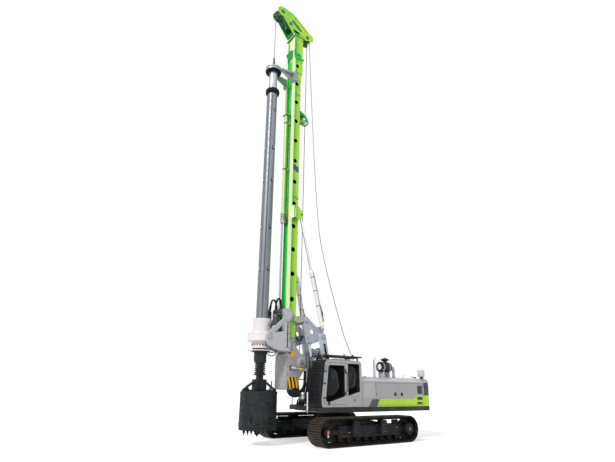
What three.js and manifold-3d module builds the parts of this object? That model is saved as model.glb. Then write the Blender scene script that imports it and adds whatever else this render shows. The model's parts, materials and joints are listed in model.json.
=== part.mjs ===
// A rotary piling rig: a crawler undercarriage with extending track frames, a slewing upper
// structure with cab, engine housing and counterweight, a parallelogram boom that carries the
// mast, and on the mast a crowd-driven rotary drive, a guided kelly bar and a drilling bucket.
// Millimetres. +X forward (towards the mast), +Y left (the cab side), +Z up, ground at z = 0.
// Coordinates inside the machine group are measured from the slewing axis.

import * as THREE from 'three';
import { mergeVertices } from 'three/addons/utils/BufferGeometryUtils.js';
import Module from 'manifold-3d';

const wasm = await Module();
wasm.setup();

// ---------------------------------------------------------------- driving dimensions

const CENTRE_X = 145;            // middle of the machine's length, forward of the slewing axis
const CLEAR = 5;                 // gap between pieces that move past each other
const TOUCH = 0.4;               // gap between pieces that are bolted together

const TRACK = { length: 4700, height: 913, shoe: 700, over: 4080, grouser: 18, plate: 22, shoes: 48 };
const TRACK_Y = (TRACK.over - TRACK.shoe) / 2;
const WHEEL_Z = TRACK.height / 2;
const WHEEL_X = TRACK.length / 2 - WHEEL_Z;
const CHAIN_INNER = 340;         // radius of the inside of the chain round the end wheels
const AXLE_X = 900;              // the two cross sleeves, ahead of and behind the slewing axis
const AXLE_Z = 560;

const DECK = { bottom: 1040, top: 1210, front: 1850, nose: 1450, rear: -3700, half: 1510 };
const HOOD = {
  front: -40, rear: -3440, side: 2105, top: 2270, chamfer: 210, wall: 30, seam: -1920, firstSeam: -720,
};
const SLEW_RING = 90;            // height of the slewing ring under the deck
const BALLAST_REAR = -3830;
const CAB = { rear: -30, front: 1850, inner: 700, outer: 1500, floor: 1215, roof: 2800, wall: 45 };

const ARM_FOOT = { x: 720, z: 1600 };     // boom foot pin
const ARM_HEAD = { x: 1120, z: 3700 };    // boom head pin
const LINK_FOOT = { x: 1320, z: 1360 };   // foot pin of the parallel links
const LINK_HEAD = { x: 1720, z: 3460 };
const LUFF_FOOT = { x: 1300, z: 1340 };   // luffing cylinder pins
const LUFF_HEAD = { x: 1035, z: 3250 };
const LUFF_Y = 200;
const LUFF_PIN = { radius: 30, eye: 44 };
const MAST_PIN = { x: 2200, z: 4270 };    // mast tilt pin
const TILT_FOOT = { x: 1130, y: 615, z: 3975 };
const TILT_HEAD = { x: 2150, y: 430, z: 8530 };
const TILT_GLAND_Z = 6250;
const TILT_EARS = { inner: -83, outer: 93, thick: 26 };   // bracket plates beside the rod's ball

const MAST = {
  rear: 2180, front: 2500, half: 300, bottom: 3620, top: 17850, rail: 2580, railIn: 200, railOut: 340,
};
const LOWER = { bottom: 1800, step: 3000, front: 2600, half: 380, recess: 2340 };
const WINCH = { x: 1960, z: 2720, barrel: 230, flange: 330, half: 325 };
const CROWD = { x: 2690, tube: 95, rod: 52, top: 13350, bottom: 8210 };
const AUX_WINCH = { x: -1180, z: 1720, barrel: 180, flange: 255 };
const WELL_REAR = -1560;          // the open well in the housing that holds the auxiliary winch
const HOLE = { pitch: 1000, first: 5050, count: 12, x: 2375, radius: 95 };

const KELLY_X = 3470;
const KELLY = { radius: 213, bore: 170, top: 13850, bottom: 2660, rib: 20 };
const DRIVE = { bottom: 3030, top: 4210, bore: 247 };
const SLEDGE = { bottom: 3070, top: 4640, plate: 525, outer: 565 };
const GUIDE_Z = 15420;           // height of the kelly guide
const BUCKET = { radius: 650, top: 1710, bottom: 520, wall: 30 };
const GATE_PIN = { x: -670, z: 515, radius: 16, eye: 19 };   // from the kelly axis
const HEAD_FRONT = { x: 3240, z: 18900, r: 230 };
const HEAD_MIDDLE = { x: 2780, z: 18420, r: 190 };
const HEAD_REAR = { x: 1790, z: 18110, r: 200 };
const MAIN_Y = -90;              // the main rope's plane, and the auxiliary rope's beside it
const AUX_Y = 110;
const ROPE = 14;                 // rope radius

// ---------------------------------------------------------------- colours

const GREY = { color: 0xa9a6a6, roughness: 0.45, metalness: 0.1 };
const LIME = { color: 0x78c828, roughness: 0.4, metalness: 0.05 };
const STEEL = { color: 0x8d9299, roughness: 0.35, metalness: 0.8 };
const DARK = { color: 0x26262a, roughness: 0.6, metalness: 0.2 };
const PALE = { color: 0xc9c5c6, roughness: 0.5, metalness: 0.1 };
const CHROME = { color: 0xd0d3d8, roughness: 0.2, metalness: 1.0 };
const EARTH = { color: 0x3d3a37, roughness: 0.7, metalness: 0.3 };
const TREAD = { color: 0x3a2f2a, roughness: 0.75, metalness: 0.5 };
const GLASS = { color: 0x16191c, roughness: 0.1, metalness: 0.0 };

// ---------------------------------------------------------------- shapes

function solid(geometry) {
  const bare = geometry.clone();
  bare.deleteAttribute('normal');
  bare.deleteAttribute('uv');
  const merged = mergeVertices(bare, 1e-3);
  const vertProperties = new Float32Array(merged.attributes.position.array);
  const triVerts = new Uint32Array(merged.index.array);
  return new wasm.Manifold(new wasm.Mesh({ numProp: 3, vertProperties, triVerts }));
}

function join(...solids) {
  return solids.flat(Infinity).reduce((whole, piece) => whole.add(piece));
}

function cut(whole, ...tools) {
  return tools.flat(Infinity).reduce((rest, tool) => rest.subtract(tool), whole);
}

function box(x0, x1, y0, y1, z0, z1) {
  const geometry = new THREE.BoxGeometry(x1 - x0, y1 - y0, z1 - z0);
  return solid(geometry.translate((x0 + x1) / 2, (y0 + y1) / 2, (z0 + z1) / 2));
}

function outline(points) {
  return new THREE.Shape(points.map(([a, b]) => new THREE.Vector2(a, b)));
}

// A flat plate: its outline is drawn in the plane named, and it spans low to high on the third axis.
function plate(shape, plane, low, high, curveSegments = 10) {
  const drawn = Array.isArray(shape) ? outline(shape) : shape;
  const geometry = new THREE.ExtrudeGeometry(drawn, { depth: high - low, bevelEnabled: false, curveSegments });
  const turn = new THREE.Matrix4();
  if (plane === 'xz') {
    turn.makeBasis(new THREE.Vector3(1, 0, 0), new THREE.Vector3(0, 0, 1), new THREE.Vector3(0, -1, 0));
    turn.setPosition(0, high, 0);
  } else if (plane === 'yz') {
    turn.makeBasis(new THREE.Vector3(0, 1, 0), new THREE.Vector3(0, 0, 1), new THREE.Vector3(1, 0, 0));
    turn.setPosition(low, 0, 0);
  } else {
    turn.setPosition(0, 0, low);
  }
  return solid(geometry.applyMatrix4(turn));
}

// A round bar between two points.
function bar(from, to, radius, sides = 24, endRadius = radius) {
  const start = new THREE.Vector3(...from);
  const end = new THREE.Vector3(...to);
  const along = end.clone().sub(start);
  const geometry = new THREE.CylinderGeometry(endRadius, radius, along.length(), sides);
  const turn = new THREE.Quaternion().setFromUnitVectors(new THREE.Vector3(0, 1, 0), along.clone().normalize());
  geometry.applyQuaternion(turn);
  geometry.translate(...start.clone().add(end).multiplyScalar(0.5).toArray());
  return solid(geometry);
}

function acrossY(x, z, radius, y0, y1, sides = 12) {
  return bar([x, y0, z], [x, y1, z], radius, sides);
}

// A body turned about a vertical axis through (x, y), from [radius, height] pairs.
function turned(profile, x = 0, y = 0, sides = 20) {
  const points = profile.map(([r, z]) => new THREE.Vector2(r, z));
  const geometry = new THREE.LatheGeometry(points, sides);
  geometry.rotateX(Math.PI / 2);
  return solid(geometry.translate(x, y, 0));
}

function ball(x, y, z, radius) {
  return solid(new THREE.SphereGeometry(radius, 10, 6).translate(x, y, z));
}

// The outline of a link: two round ends joined by their outer tangents.
function linkOutline(a, b, radiusA, radiusB) {
  const angle = Math.atan2(b.z - a.z, b.x - a.x);
  const spread = Math.acos((radiusA - radiusB) / Math.hypot(b.x - a.x, b.z - a.z));
  const shape = new THREE.Shape();
  shape.absarc(a.x, a.z, radiusA, angle + spread, angle - spread + 2 * Math.PI, false);
  shape.absarc(b.x, b.z, radiusB, angle - spread, angle + spread, false);
  return shape;
}

function link(a, b, radiusA, radiusB, y0, y1) {
  return plate(linkOutline(a, b, radiusA, radiusB), 'xz', y0, y1, 5);
}

// The same piece on both sides of the machine.
function bothSides(make) {
  return [make(1), make(-1)];
}

function span(side, inner, outer) {
  return side > 0 ? [inner, outer] : [-outer, -inner];
}

function tube(points, radius, sides = 8, steps = 40) {
  const curve = new THREE.CatmullRomCurve3(points.map((p) => new THREE.Vector3(...p)));
  const section = new THREE.Shape().absarc(0, 0, radius, 0, 2 * Math.PI, false);
  const settings = { steps, extrudePath: curve, bevelEnabled: false, curveSegments: sides };
  return solid(new THREE.ExtrudeGeometry(section, settings));
}

// ---------------------------------------------------------------- the scene graph

const machine = new THREE.Group();
machine.position.x = -CENTRE_X;
const kellyString = new THREE.Group();
kellyString.position.x = KELLY_X;
machine.add(kellyString);

function piece(name, shape, look, group = machine) {
  const { vertProperties, triVerts } = shape.getMesh();
  const geometry = new THREE.BufferGeometry();
  geometry.setAttribute('position', new THREE.BufferAttribute(vertProperties, 3));
  geometry.setIndex(new THREE.BufferAttribute(triVerts, 1));
  const mesh = new THREE.Mesh(geometry, new THREE.MeshStandardMaterial({ ...look, flatShading: true }));
  mesh.name = name;
  group.add(mesh);
}

// ---------------------------------------------------------------- undercarriage

function stadium(radius, shape = new THREE.Shape()) {
  shape.absarc(WHEEL_X, WHEEL_Z, radius, -Math.PI / 2, Math.PI / 2, false);
  shape.absarc(-WHEEL_X, WHEEL_Z, radius, Math.PI / 2, 1.5 * Math.PI, false);
  return shape;
}

// A point on the stadium that lies `radius` from the wheels' centre line, `along` mm round it.
function onLoop(radius, along, loopRadius) {
  const straight = 2 * WHEEL_X;
  const bend = Math.PI * loopRadius;
  const s = along % (2 * (straight + bend));
  if (s < straight) return [-WHEEL_X + s, WHEEL_Z - radius];
  if (s < straight + bend) {
    const turn = -Math.PI / 2 + (s - straight) / loopRadius;
    return [WHEEL_X + radius * Math.cos(turn), WHEEL_Z + radius * Math.sin(turn)];
  }
  if (s < 2 * straight + bend) return [WHEEL_X - (s - straight - bend), WHEEL_Z + radius];
  const turn = Math.PI / 2 + (s - 2 * straight - bend) / loopRadius;
  return [-WHEEL_X + radius * Math.cos(turn), WHEEL_Z + radius * Math.sin(turn)];
}

function trackLoop(side) {
  const plateOuter = WHEEL_Z - TRACK.grouser;
  const plateInner = plateOuter - TRACK.plate;
  const pitch = (4 * WHEEL_X + 2 * Math.PI * plateOuter) / TRACK.shoes;
  const points = [];
  for (let shoe = 0; shoe < TRACK.shoes; shoe++) {
    const start = shoe * pitch;
    points.push(onLoop(plateOuter, start, plateOuter));
    points.push(onLoop(WHEEL_Z, start + 0.1 * pitch, plateOuter));
    points.push(onLoop(WHEEL_Z, start + 0.22 * pitch, plateOuter));
    points.push(onLoop(plateOuter, start + 0.34 * pitch, plateOuter));
  }
  const shoes = outline(points);
  shoes.holes.push(stadium(plateInner, new THREE.Path()));
  const chain = stadium(plateInner + 2);
  chain.holes.push(stadium(CHAIN_INNER, new THREE.Path()));
  const middle = side * TRACK_Y;
  return join(
    plate(shoes, 'xz', middle - TRACK.shoe / 2, middle + TRACK.shoe / 2, 10),
    plate(chain, 'xz', middle - 95, middle + 95, 10),
  );
}

function trackFrame(side) {
  const middle = side * TRACK_Y;
  const [in0, in1] = span(side, 600, TRACK_Y);
  const [step0, step1] = span(side, TRACK_Y + 160, TRACK.over / 2 - 12);
  const beam = join(
    box(-1500, 1450, middle - 170, middle + 170, 270, 640),
    box(-1600, -1450, middle - 150, middle + 150, 330, 580),
    box(1400, 1600, middle - 110, middle + 110, 370, 540),
  );
  const wheels = [
    acrossY(-WHEEL_X, WHEEL_Z, CHAIN_INNER - 10, middle - 40, middle + 40, 20),
    acrossY(WHEEL_X, WHEEL_Z, CHAIN_INNER - 5, middle - 50, middle + 50, 20),
    acrossY(-WHEEL_X, WHEEL_Z, 195, ...span(side, TRACK_Y - 170, TRACK.over / 2 - 20), 16),
    acrossY(WHEEL_X, WHEEL_Z, 95, middle - 130, middle + 130, 20),
  ];
  const arms = [-130, 130].map((offset) => {
    const [y0, y1] = [middle + offset - 22, middle + offset + 22];
    return join(box(-WHEEL_X, -1450, y0, y1, 350, 560), box(1400, WHEEL_X, y0, y1, 380, 530));
  });
  const rollers = [];
  for (let n = 0; n < 8; n++) {
    const x = -1330 + n * 380;
    rollers.push(acrossY(x, WHEEL_Z - CHAIN_INNER + 86, 85, middle - 120, middle + 120, 8));
  }
  for (const x of [-700, 700]) {
    rollers.push(acrossY(x, WHEEL_Z + CHAIN_INNER - 61, 60, middle - 90, middle + 90, 10));
    rollers.push(box(x - 35, x + 35, middle - 60, middle + 60, 620, 735));
  }
  const axles = [-AXLE_X, AXLE_X].map((x) => box(x - 145, x + 145, in0, in1, AXLE_Z - 125, AXLE_Z + 125));
  const steps = [745, -575].map((x) => {
    const half = [[180, 330], [150, 640], [120, 770]];
    const shape = [...half.map(([w, z]) => [x + w, z]), ...half.map(([w, z]) => [x - w, z]).reverse()];
    return plate(shape, 'xz', step0, step1);
  });
  return join(beam, wheels, arms, rollers, axles, steps);
}

function carBody() {
  const [low, high] = [AXLE_Z - 175, AXLE_Z + 175];
  const sleeves = [-AXLE_X, AXLE_X].map((x) => box(x - 195, x + 195, -790, 790, low, high));
  const bores = [-AXLE_X, AXLE_X].map((x) => box(x - 150, x + 150, -800, 800, AXLE_Z - 130, AXLE_Z + 130));
  const corners = [
    [-900, -560], [-560, -760], [560, -760], [900, -560], [900, 560], [560, 760], [-560, 760], [-900, 560],
  ];
  const middle = plate(corners, 'xy', 420, 820);
  const seat = DECK.bottom - SLEW_RING - CLEAR;
  const ring = turned([[0, 780], [660, 780], [660, 860], [620, 900], [620, seat], [0, seat]], 0, 0, 36);
  return join(cut(join(middle, sleeves), bores), ring);
}

piece('car_body', carBody(), DARK);
piece('left_track_frame', trackFrame(1), DARK);
piece('right_track_frame', trackFrame(-1), DARK);
piece('left_track', trackLoop(1), TREAD);
piece('right_track', trackLoop(-1), TREAD);

// ---------------------------------------------------------------- upper structure

function turntable() {
  const { half, front, nose, rear, bottom, top } = DECK;
  const [right, left] = [-CAB.inner + 10, CAB.inner - 12];
  const deckOutline = [
    [rear, -half], [nose - 300, -half], [nose - 200, -half + 120], [nose - 200, right], [nose, right],
    [nose, left], [front - 40, left], [front, CAB.inner + 30], [front, half - 60], [front - 60, half],
    [rear, half],
  ];
  const deck = plate(deckOutline, 'xy', bottom, top);
  const ringFoot = bottom - SLEW_RING;
  const ring = turned([[0, ringFoot], [600, ringFoot], [600, bottom + 20], [0, bottom + 20]], 0, 0, 36);
  const ears = [];
  for (const side of [1, -1]) {
    for (const [inner, outer] of [[465, 510], [652, 688]]) {
      const { x, z } = ARM_FOOT;
      const foot = [[480, top - 10], [960, top - 10], [x + 130, z], [x, z + 140], [x - 130, z]];
      ears.push(plate(foot, 'xz', ...span(side, inner, outer)));
    }
    ears.push(acrossY(ARM_FOOT.x, ARM_FOOT.z, 60, ...span(side, 470, 680)));
    for (const [inner, outer] of [[465, 510], [612, 650]]) {
      const { x, z } = LINK_FOOT;
      const foot = [[x - 120, top - 10], [x + 120, top - 10], [x + 80, z + 50], [x, z + 90], [x - 80, z + 50]];
      ears.push(plate(foot, 'xz', ...span(side, inner, outer)));
    }
    ears.push(acrossY(LINK_FOOT.x, LINK_FOOT.z, 40, ...span(side, 470, 640)));
    for (const offset of [-95, 95]) {
      const y = side * LUFF_Y + offset;
      const { x, z } = LUFF_FOOT;
      const foot = [[x - 110, top - 10], [x + 130, top - 10], [x + 70, z + 60], [x, z + 80], [x - 70, z + 60]];
      ears.push(plate(foot, 'xz', y - 18, y + 18));
    }
    ears.push(acrossY(LUFF_FOOT.x, LUFF_FOOT.z, 38, side * LUFF_Y - 100, side * LUFF_Y + 100));
  }
  return join(deck, ring, ears);
}

function hoodSection(inset) {
  const half = DECK.half - inset;
  const floor = DECK.top + TOUCH;
  const [side, top, edge] = [HOOD.side - inset * 0.4, HOOD.top - inset, half - HOOD.chamfer];
  return [[-half, floor], [half, floor], [half, side], [edge, top], [-edge, top], [-half, side]];
}

// The housing over the engine: side walls that are cut for the doors, and a well for the winch.
function engineHousing() {
  const shell = plate(hoodSection(0), 'yz', HOOD.rear, HOOD.front);
  const inside = plate(hoodSection(HOOD.wall), 'yz', HOOD.rear + HOOD.wall, WELL_REAR - 30);
  const inner = DECK.half - HOOD.wall;
  const open = box(HOOD.rear + HOOD.wall, WELL_REAR - 30, -inner, inner, DECK.top - 5, DECK.top + 60);
  const well = box(WELL_REAR, HOOD.front + 10, -640, 640, DECK.top - 5, HOOD.top + 10);
  const doorways = bothSides((side) => {
    const [y0, y1] = span(side, DECK.half - 60, DECK.half + 10);
    return box(HOOD.rear + 45, HOOD.firstSeam - 5, y0, y1, DECK.top + 45, HOOD.side - 45);
  });
  const sideRooms = bothSides((side) => {
    const [y0, y1] = span(side, 670, DECK.half - 30);
    return box(WELL_REAR - 40, HOOD.front - 30, y0, y1, DECK.top - 5, HOOD.side - 30);
  });
  return cut(shell, inside, open, well, doorways, sideRooms);
}

function housingDoor(side, rear, front) {
  const [y0, y1] = span(side, DECK.half - 26, DECK.half);
  return box(rear, front, y0, y1, DECK.top + 52, HOOD.side - 52);
}

function counterweight() {
  const [front, rear, half] = [HOOD.rear - 3, BALLAST_REAR, DECK.half];
  const round = 150;
  const shape = new THREE.Shape();
  shape.moveTo(front, -half);
  shape.lineTo(front, half);
  shape.lineTo(rear + round, half);
  shape.absarc(rear + round, half - round, round, Math.PI / 2, Math.PI, false);
  shape.absarc(rear + round, -half + round, round, Math.PI, 1.5 * Math.PI, false);
  const block = plate(shape, 'xy', DECK.bottom + 20, HOOD.top - 10, 6);
  const deckSeat = box(DECK.rear - 4, front + 10, -half - 10, half + 10, DECK.bottom, DECK.top + TOUCH);
  const corners = bothSides((side) => {
    const y = side * (half + 1);
    const slope = [[y, HOOD.side], [y, HOOD.top + 5], [y - side * HOOD.chamfer * 1.05, HOOD.top + 5]];
    return plate(side > 0 ? slope : slope.reverse(), 'yz', rear - 10, front + 10);
  });
  return cut(block, deckSeat, corners);
}

function exhaust() {
  const foot = HOOD.top + TOUCH;
  const profile = [
    [0, foot], [75, foot], [75, foot + 30], [48, foot + 30], [48, 3060], [38, 3060], [38, 2400], [0, 2400],
  ];
  const pipe = turned(profile, -1270, 900, 20);
  const slant = plate([[-1400, 3100], [-1400, 2960], [-1200, 3070], [-1200, 3100]], 'xz', 800, 1000);
  return cut(pipe, slant);
}

function airCleaner() {
  const [x0, x1, y, z, r] = [-2110, -1560, 900, 2680, 205];
  return join(
    bar([x0, y, z], [x1, y, z], r, 20),
    bar([x0 - 60, y, z], [x0 + 10, y, z], 90, 20),
    box(x0 + 60, x1 - 60, y - 150, y + 150, HOOD.top + TOUCH, z - 120),
    bar([-1880, y, z + 150], [-1880, y, 2930], 75, 20),
    turned([[0, 2900], [90, 2900], [165, 2950], [165, 2985], [110, 3035], [0, 3045]], -1880, y, 24),
    tube([
      [x0 - 50, y, z], [x0 - 190, y, z - 10], [x0 - 270, y - 20, z - 100], [x0 - 290, y - 40, HOOD.top + 40],
    ], 62, 6, 8),
    bar([x0 - 290, y - 42, HOOD.top + TOUCH], [x0 - 290, y - 42, HOOD.top + 60], 95, 16),
  );
}

function winchStand() {
  const sides = bothSides((side) => {
    const [y0, y1] = span(side, 340, 400);
    const { x, z } = AUX_WINCH;
    const half = [[360, DECK.top + TOUCH], [210, z + 60], [90, z + 240]];
    const shape = [...half.map(([w, h]) => [x + w, h]), ...half.map(([w, h]) => [x - w, h]).reverse()];
    return cut(plate(shape, 'xz', y0, y1), acrossY(x, z, 62, -500, 500, 20));
  });
  return join(sides, box(AUX_WINCH.x - 340, AUX_WINCH.x + 340, -390, 390, DECK.top + TOUCH, DECK.top + 40));
}

function drum(x, z, barrel, flange, half, pin) {
  return join(
    acrossY(x, z, barrel, -half, half, 24),
    acrossY(x, z, flange, -half, -half + 25, 24),
    acrossY(x, z, flange, half - 25, half, 24),
    acrossY(x, z, pin, -half - 60, half + 60, 20),
  );
}

piece('turntable', turntable(), DARK);
piece('engine_housing', engineHousing(), GREY);
piece('engine_block', box(-3050, -1700, -420, 420, DECK.top + TOUCH, 2050), DARK);
piece('counterweight', counterweight(), DARK);
for (const [name, side] of [['left', 1], ['right', -1]]) {
  piece(`${name}_front_housing_door`, housingDoor(side, HOOD.seam + 4, HOOD.firstSeam - 12), GREY);
  piece(`${name}_rear_housing_door`, housingDoor(side, HOOD.rear + 52, HOOD.seam - 4), GREY);
}
piece('exhaust_pipe', exhaust(), CHROME);
piece('air_cleaner', airCleaner(), DARK);
piece('auxiliary_winch_stand', winchStand(), DARK);
piece('auxiliary_winch_drum', drum(AUX_WINCH.x, AUX_WINCH.z, AUX_WINCH.barrel, AUX_WINCH.flange, 325, 58), STEEL);

// ---------------------------------------------------------------- cab

const CAB_SIDE = [
  [CAB.rear, CAB.floor], [CAB.front - 40, CAB.floor], [CAB.front, CAB.floor + 90], [CAB.front + 5, 1500],
  [1700, 2700], [1610, CAB.roof], [60, CAB.roof], [CAB.rear, CAB.roof - 90],
];
const DOOR_OUTLINE = [
  [735, 1300], [1560, 1300], [1700, 1330], [1760, 1420], [1763, 1520], [1622, 2640], [1560, 2700], [735, 2700],
];
const DOOR_WINDOW = [
  [815, 1580], [1560, 1380], [1655, 1440], [1660, 1520], [1545, 2560], [1490, 2615], [815, 2615],
];
const WINDSCREEN = { low: 1420, high: 2640, edge: 70 };   // edge: its frame's width at each side
const RIGHT_WINDOW = [[90, 1745], [1560, 1500], [1640, 1500], [1540, 2640], [120, 2690], [90, 2650]];
const REAR_WINDOW = [[90, 1745], [640, 1600], [640, 2690], [120, 2690], [90, 2650]];

function shrink(points, amount) {
  const middleX = points.reduce((sum, p) => sum + p[0], 0) / points.length;
  const middleZ = points.reduce((sum, p) => sum + p[1], 0) / points.length;
  const width = Math.max(...points.map((p) => Math.abs(p[0] - middleX)));
  const height = Math.max(...points.map((p) => Math.abs(p[1] - middleZ)));
  return points.map(([x, z]) => [
    middleX + (x - middleX) * (1 - amount / width),
    middleZ + (z - middleZ) * (1 - amount / height),
  ]);
}

function cab() {
  const shell = plate(CAB_SIDE, 'xz', CAB.inner, CAB.outer);
  const room = plate(shrink(CAB_SIDE, CAB.wall), 'xz', CAB.inner + CAB.wall, CAB.outer - CAB.wall);
  const [outerSkin, outside] = [CAB.outer - CAB.wall - 10, CAB.outer + 10];
  const doorway = plate(shrink(DOOR_OUTLINE, -8), 'xz', outerSkin, outside);
  const rearWindow = plate(REAR_WINDOW, 'xz', outerSkin, outside);
  const rightWindow = plate(RIGHT_WINDOW, 'xz', CAB.inner - 10, CAB.inner + CAB.wall + 10);
  const { edge, low, high } = WINDSCREEN;
  const windscreen = box(1550, 1900, CAB.inner + edge, CAB.outer - edge, low, high);
  return cut(shell, room, doorway, rearWindow, rightWindow, windscreen);
}

function cabDoor() {
  const panel = plate(DOOR_OUTLINE, 'xz', CAB.outer - 34, CAB.outer);
  return cut(panel, plate(DOOR_WINDOW, 'xz', CAB.outer - 50, CAB.outer + 10));
}

// A pane lies in its opening a hair inside the frame.
function pane(points, y0, y1) {
  return plate(shrink(points, TOUCH), 'xz', y0, y1);
}

function windscreenGlass() {
  const [low, high] = [WINDSCREEN.low + TOUCH, WINDSCREEN.high - TOUCH];
  const leaning = [[1828, low], [1840, low], [1699, high], [1687, high]];
  const edge = WINDSCREEN.edge + TOUCH;
  return plate(leaning, 'xz', CAB.inner + edge, CAB.outer - edge);
}

// The guard over the roof: a flat grid of bars on short posts.
function roofGuard() {
  const [x0, x1, y0, y1] = [-90, 1720, CAB.inner + 20, CAB.outer - 30];
  const bars = [];
  for (const y of [y0, y0 + 355, y1 - 40]) bars.push(box(x0, x1, y, y + 40, 2930, 2975));
  for (const x of [x0, 815, x1 - 40]) bars.push(box(x, x + 40, y0, y1, 2932, 2973));
  for (const x of [100, 1480]) {
    for (const y of [y0 + 20, y1 - 60]) bars.push(box(x, x + 40, y, y + 40, CAB.roof + TOUCH, 2940));
  }
  bars.push(box(100, 140, y0, y1, 2900, 2940));
  bars.push(box(1480, 1520, y0, y1, 2900, 2940));
  return join(bars);
}

function operatorSeat() {
  const base = CAB.floor + CAB.wall + TOUCH;
  const back = [[330, 1720], [450, 1720], [380, 2380], [290, 2380]];
  return join(
    box(420, 800, 950, 1250, base, 1640),
    box(370, 900, 870, 1330, 1620, 1760),
    plate(back, 'xz', 890, 1310),
  );
}

function operatorConsole() {
  const base = CAB.floor + CAB.wall + TOUCH;
  const shape = [[1380, base], [1640, base], [1640, 1700], [1560, 1960], [1500, 1960], [1430, 1620], [1380, 1500]];
  return plate(shape, 'xz', 830, 1130);
}

piece('cab', cab(), GREY);
piece('cab_door', cabDoor(), GREY);
piece('door_glass', pane(DOOR_WINDOW, CAB.outer - 28, CAB.outer - 16), GLASS);
piece('rear_side_glass', pane(REAR_WINDOW, CAB.outer - 28, CAB.outer - 16), GLASS);
piece('right_side_glass', pane(RIGHT_WINDOW, CAB.inner + 16, CAB.inner + 28), GLASS);
piece('windscreen', windscreenGlass(), GLASS);
piece('roof_guard', roofGuard(), DARK);
piece('operator_seat', operatorSeat(), DARK);
piece('operator_console', operatorConsole(), DARK);

// ---------------------------------------------------------------- boom and mast support

function boom() {
  const legs = bothSides((side) => {
    const [y0, y1] = span(side, 520, 640);
    const eyes = [ARM_FOOT, ARM_HEAD].map((pin) => acrossY(pin.x, pin.z, 63, y0 - 10, y1 + 10));
    return cut(link(ARM_FOOT, ARM_HEAD, 150, 140, y0, y1), eyes);
  });
  const lugs = bothSides((side) => [-70, 70].map((offset) => {
    const y = side * LUFF_Y + offset;
    return link({ x: 905, z: 3150 }, LUFF_HEAD, 90, 66, y - 15, y + 15);
  })).flat();
  const pins = bothSides((side) => (
    acrossY(LUFF_HEAD.x, LUFF_HEAD.z, LUFF_PIN.radius, side * LUFF_Y - 80, side * LUFF_Y + 80)
  ));
  return join(
    legs, lugs, pins,
    acrossY(905, 3150, 85, -530, 530),
    acrossY(840, 2230, 85, -530, 530),
  );
}

function parallelLink(side) {
  const [y0, y1] = span(side, 522, 600);
  const middle = (y0 + y1) / 2;
  const rod = join(
    acrossY(LINK_FOOT.x, LINK_FOOT.z, 75, y0, y1),
    bar([LINK_FOOT.x, middle, LINK_FOOT.z], [LINK_HEAD.x, middle, LINK_HEAD.z], 48, 16),
    acrossY(LINK_HEAD.x, LINK_HEAD.z, 75, y0, y1),
  );
  return cut(
    rod,
    acrossY(LINK_FOOT.x, LINK_FOOT.z, 42, y0 - 10, y1 + 10),
    acrossY(LINK_HEAD.x, LINK_HEAD.z, 47, y0 - 10, y1 + 10),
  );
}

function cylinderBarrel(foot, gland, radius, bore, sides = 12) {
  const start = new THREE.Vector3(...foot);
  const end = new THREE.Vector3(...gland);
  const way = end.clone().sub(start).normalize();
  const at = (distance) => start.clone().addScaledVector(way, distance).toArray();
  const length = end.distanceTo(start);
  const outside = join(
    bar(at(60), gland, radius, sides),
    bar(at(0), at(100), radius * 0.7, sides),
  );
  return cut(outside, bar(at(200), at(length + 10), bore, sides));
}

function towards(from, to, distance) {
  const start = new THREE.Vector3(...from);
  return start.addScaledVector(new THREE.Vector3(...to).sub(start).normalize(), distance).toArray();
}

function luffBarrel(side) {
  const foot = [LUFF_FOOT.x, side * LUFF_Y, LUFF_FOOT.z];
  const head = [LUFF_HEAD.x, side * LUFF_Y, LUFF_HEAD.z];
  const eye = acrossY(foot[0], foot[2], 68, foot[1] - 70, foot[1] + 70);
  const barrel = join(cylinderBarrel(foot, towards(foot, head, 1250), 70, 48), eye);
  return cut(barrel, acrossY(foot[0], foot[2], 40, foot[1] - 80, foot[1] + 80));
}

function luffRod(side) {
  const foot = [LUFF_FOOT.x, side * LUFF_Y, LUFF_FOOT.z];
  const head = [LUFF_HEAD.x, side * LUFF_Y, LUFF_HEAD.z];
  const rod = join(
    bar(towards(foot, head, 700), towards(head, foot, 30), 40, 12),
    acrossY(head[0], head[2], 60, head[1] - 48, head[1] + 48),
  );
  return cut(rod, acrossY(head[0], head[2], LUFF_PIN.eye, head[1] - 60, head[1] + 60));
}

// The triangular support between the boom head, the parallel links and the mast.
function mastSupport() {
  const cheeks = bothSides((side) => {
    const [y0, y1] = span(side, 460, 508);
    const shape = [
      [ARM_HEAD.x - 130, ARM_HEAD.z - 30], [ARM_HEAD.x, ARM_HEAD.z - 140], [LINK_HEAD.x - 60, LINK_HEAD.z - 95],
      [LINK_HEAD.x + 70, LINK_HEAD.z - 70], [LINK_HEAD.x + 110, LINK_HEAD.z + 30], [1935, 4120], [1935, 4400],
      [1800, 4420], [1330, 4060], [1230, 4080], [1030, 4080], [ARM_HEAD.x - 130, 3900],
    ];
    const hole = acrossY(1560, 3860, 90, y0 - 10, y1 + 10, 16);
    return join(
      cut(plate(shape, 'xz', y0, y1), hole),
      acrossY(ARM_HEAD.x, ARM_HEAD.z, 60, ...span(side, 490, 662)),
      acrossY(ARM_HEAD.x, ARM_HEAD.z, 110, ...span(side, 646, 668), 16),
      acrossY(LINK_HEAD.x, LINK_HEAD.z, 45, ...span(side, 490, 632)),
      acrossY(LINK_HEAD.x, LINK_HEAD.z, 70, ...span(side, 614, 636)),
    );
  });
  const bore = bar([1700, 0, MAST_PIN.z], [1990, 0, MAST_PIN.z], 82, 24);
  const hub = cut(box(1800, 1935, -480, 480, 4140, 4400), bore);
  return join(cheeks, hub, acrossY(1120, 3760, 70, -480, 480));
}

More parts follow.
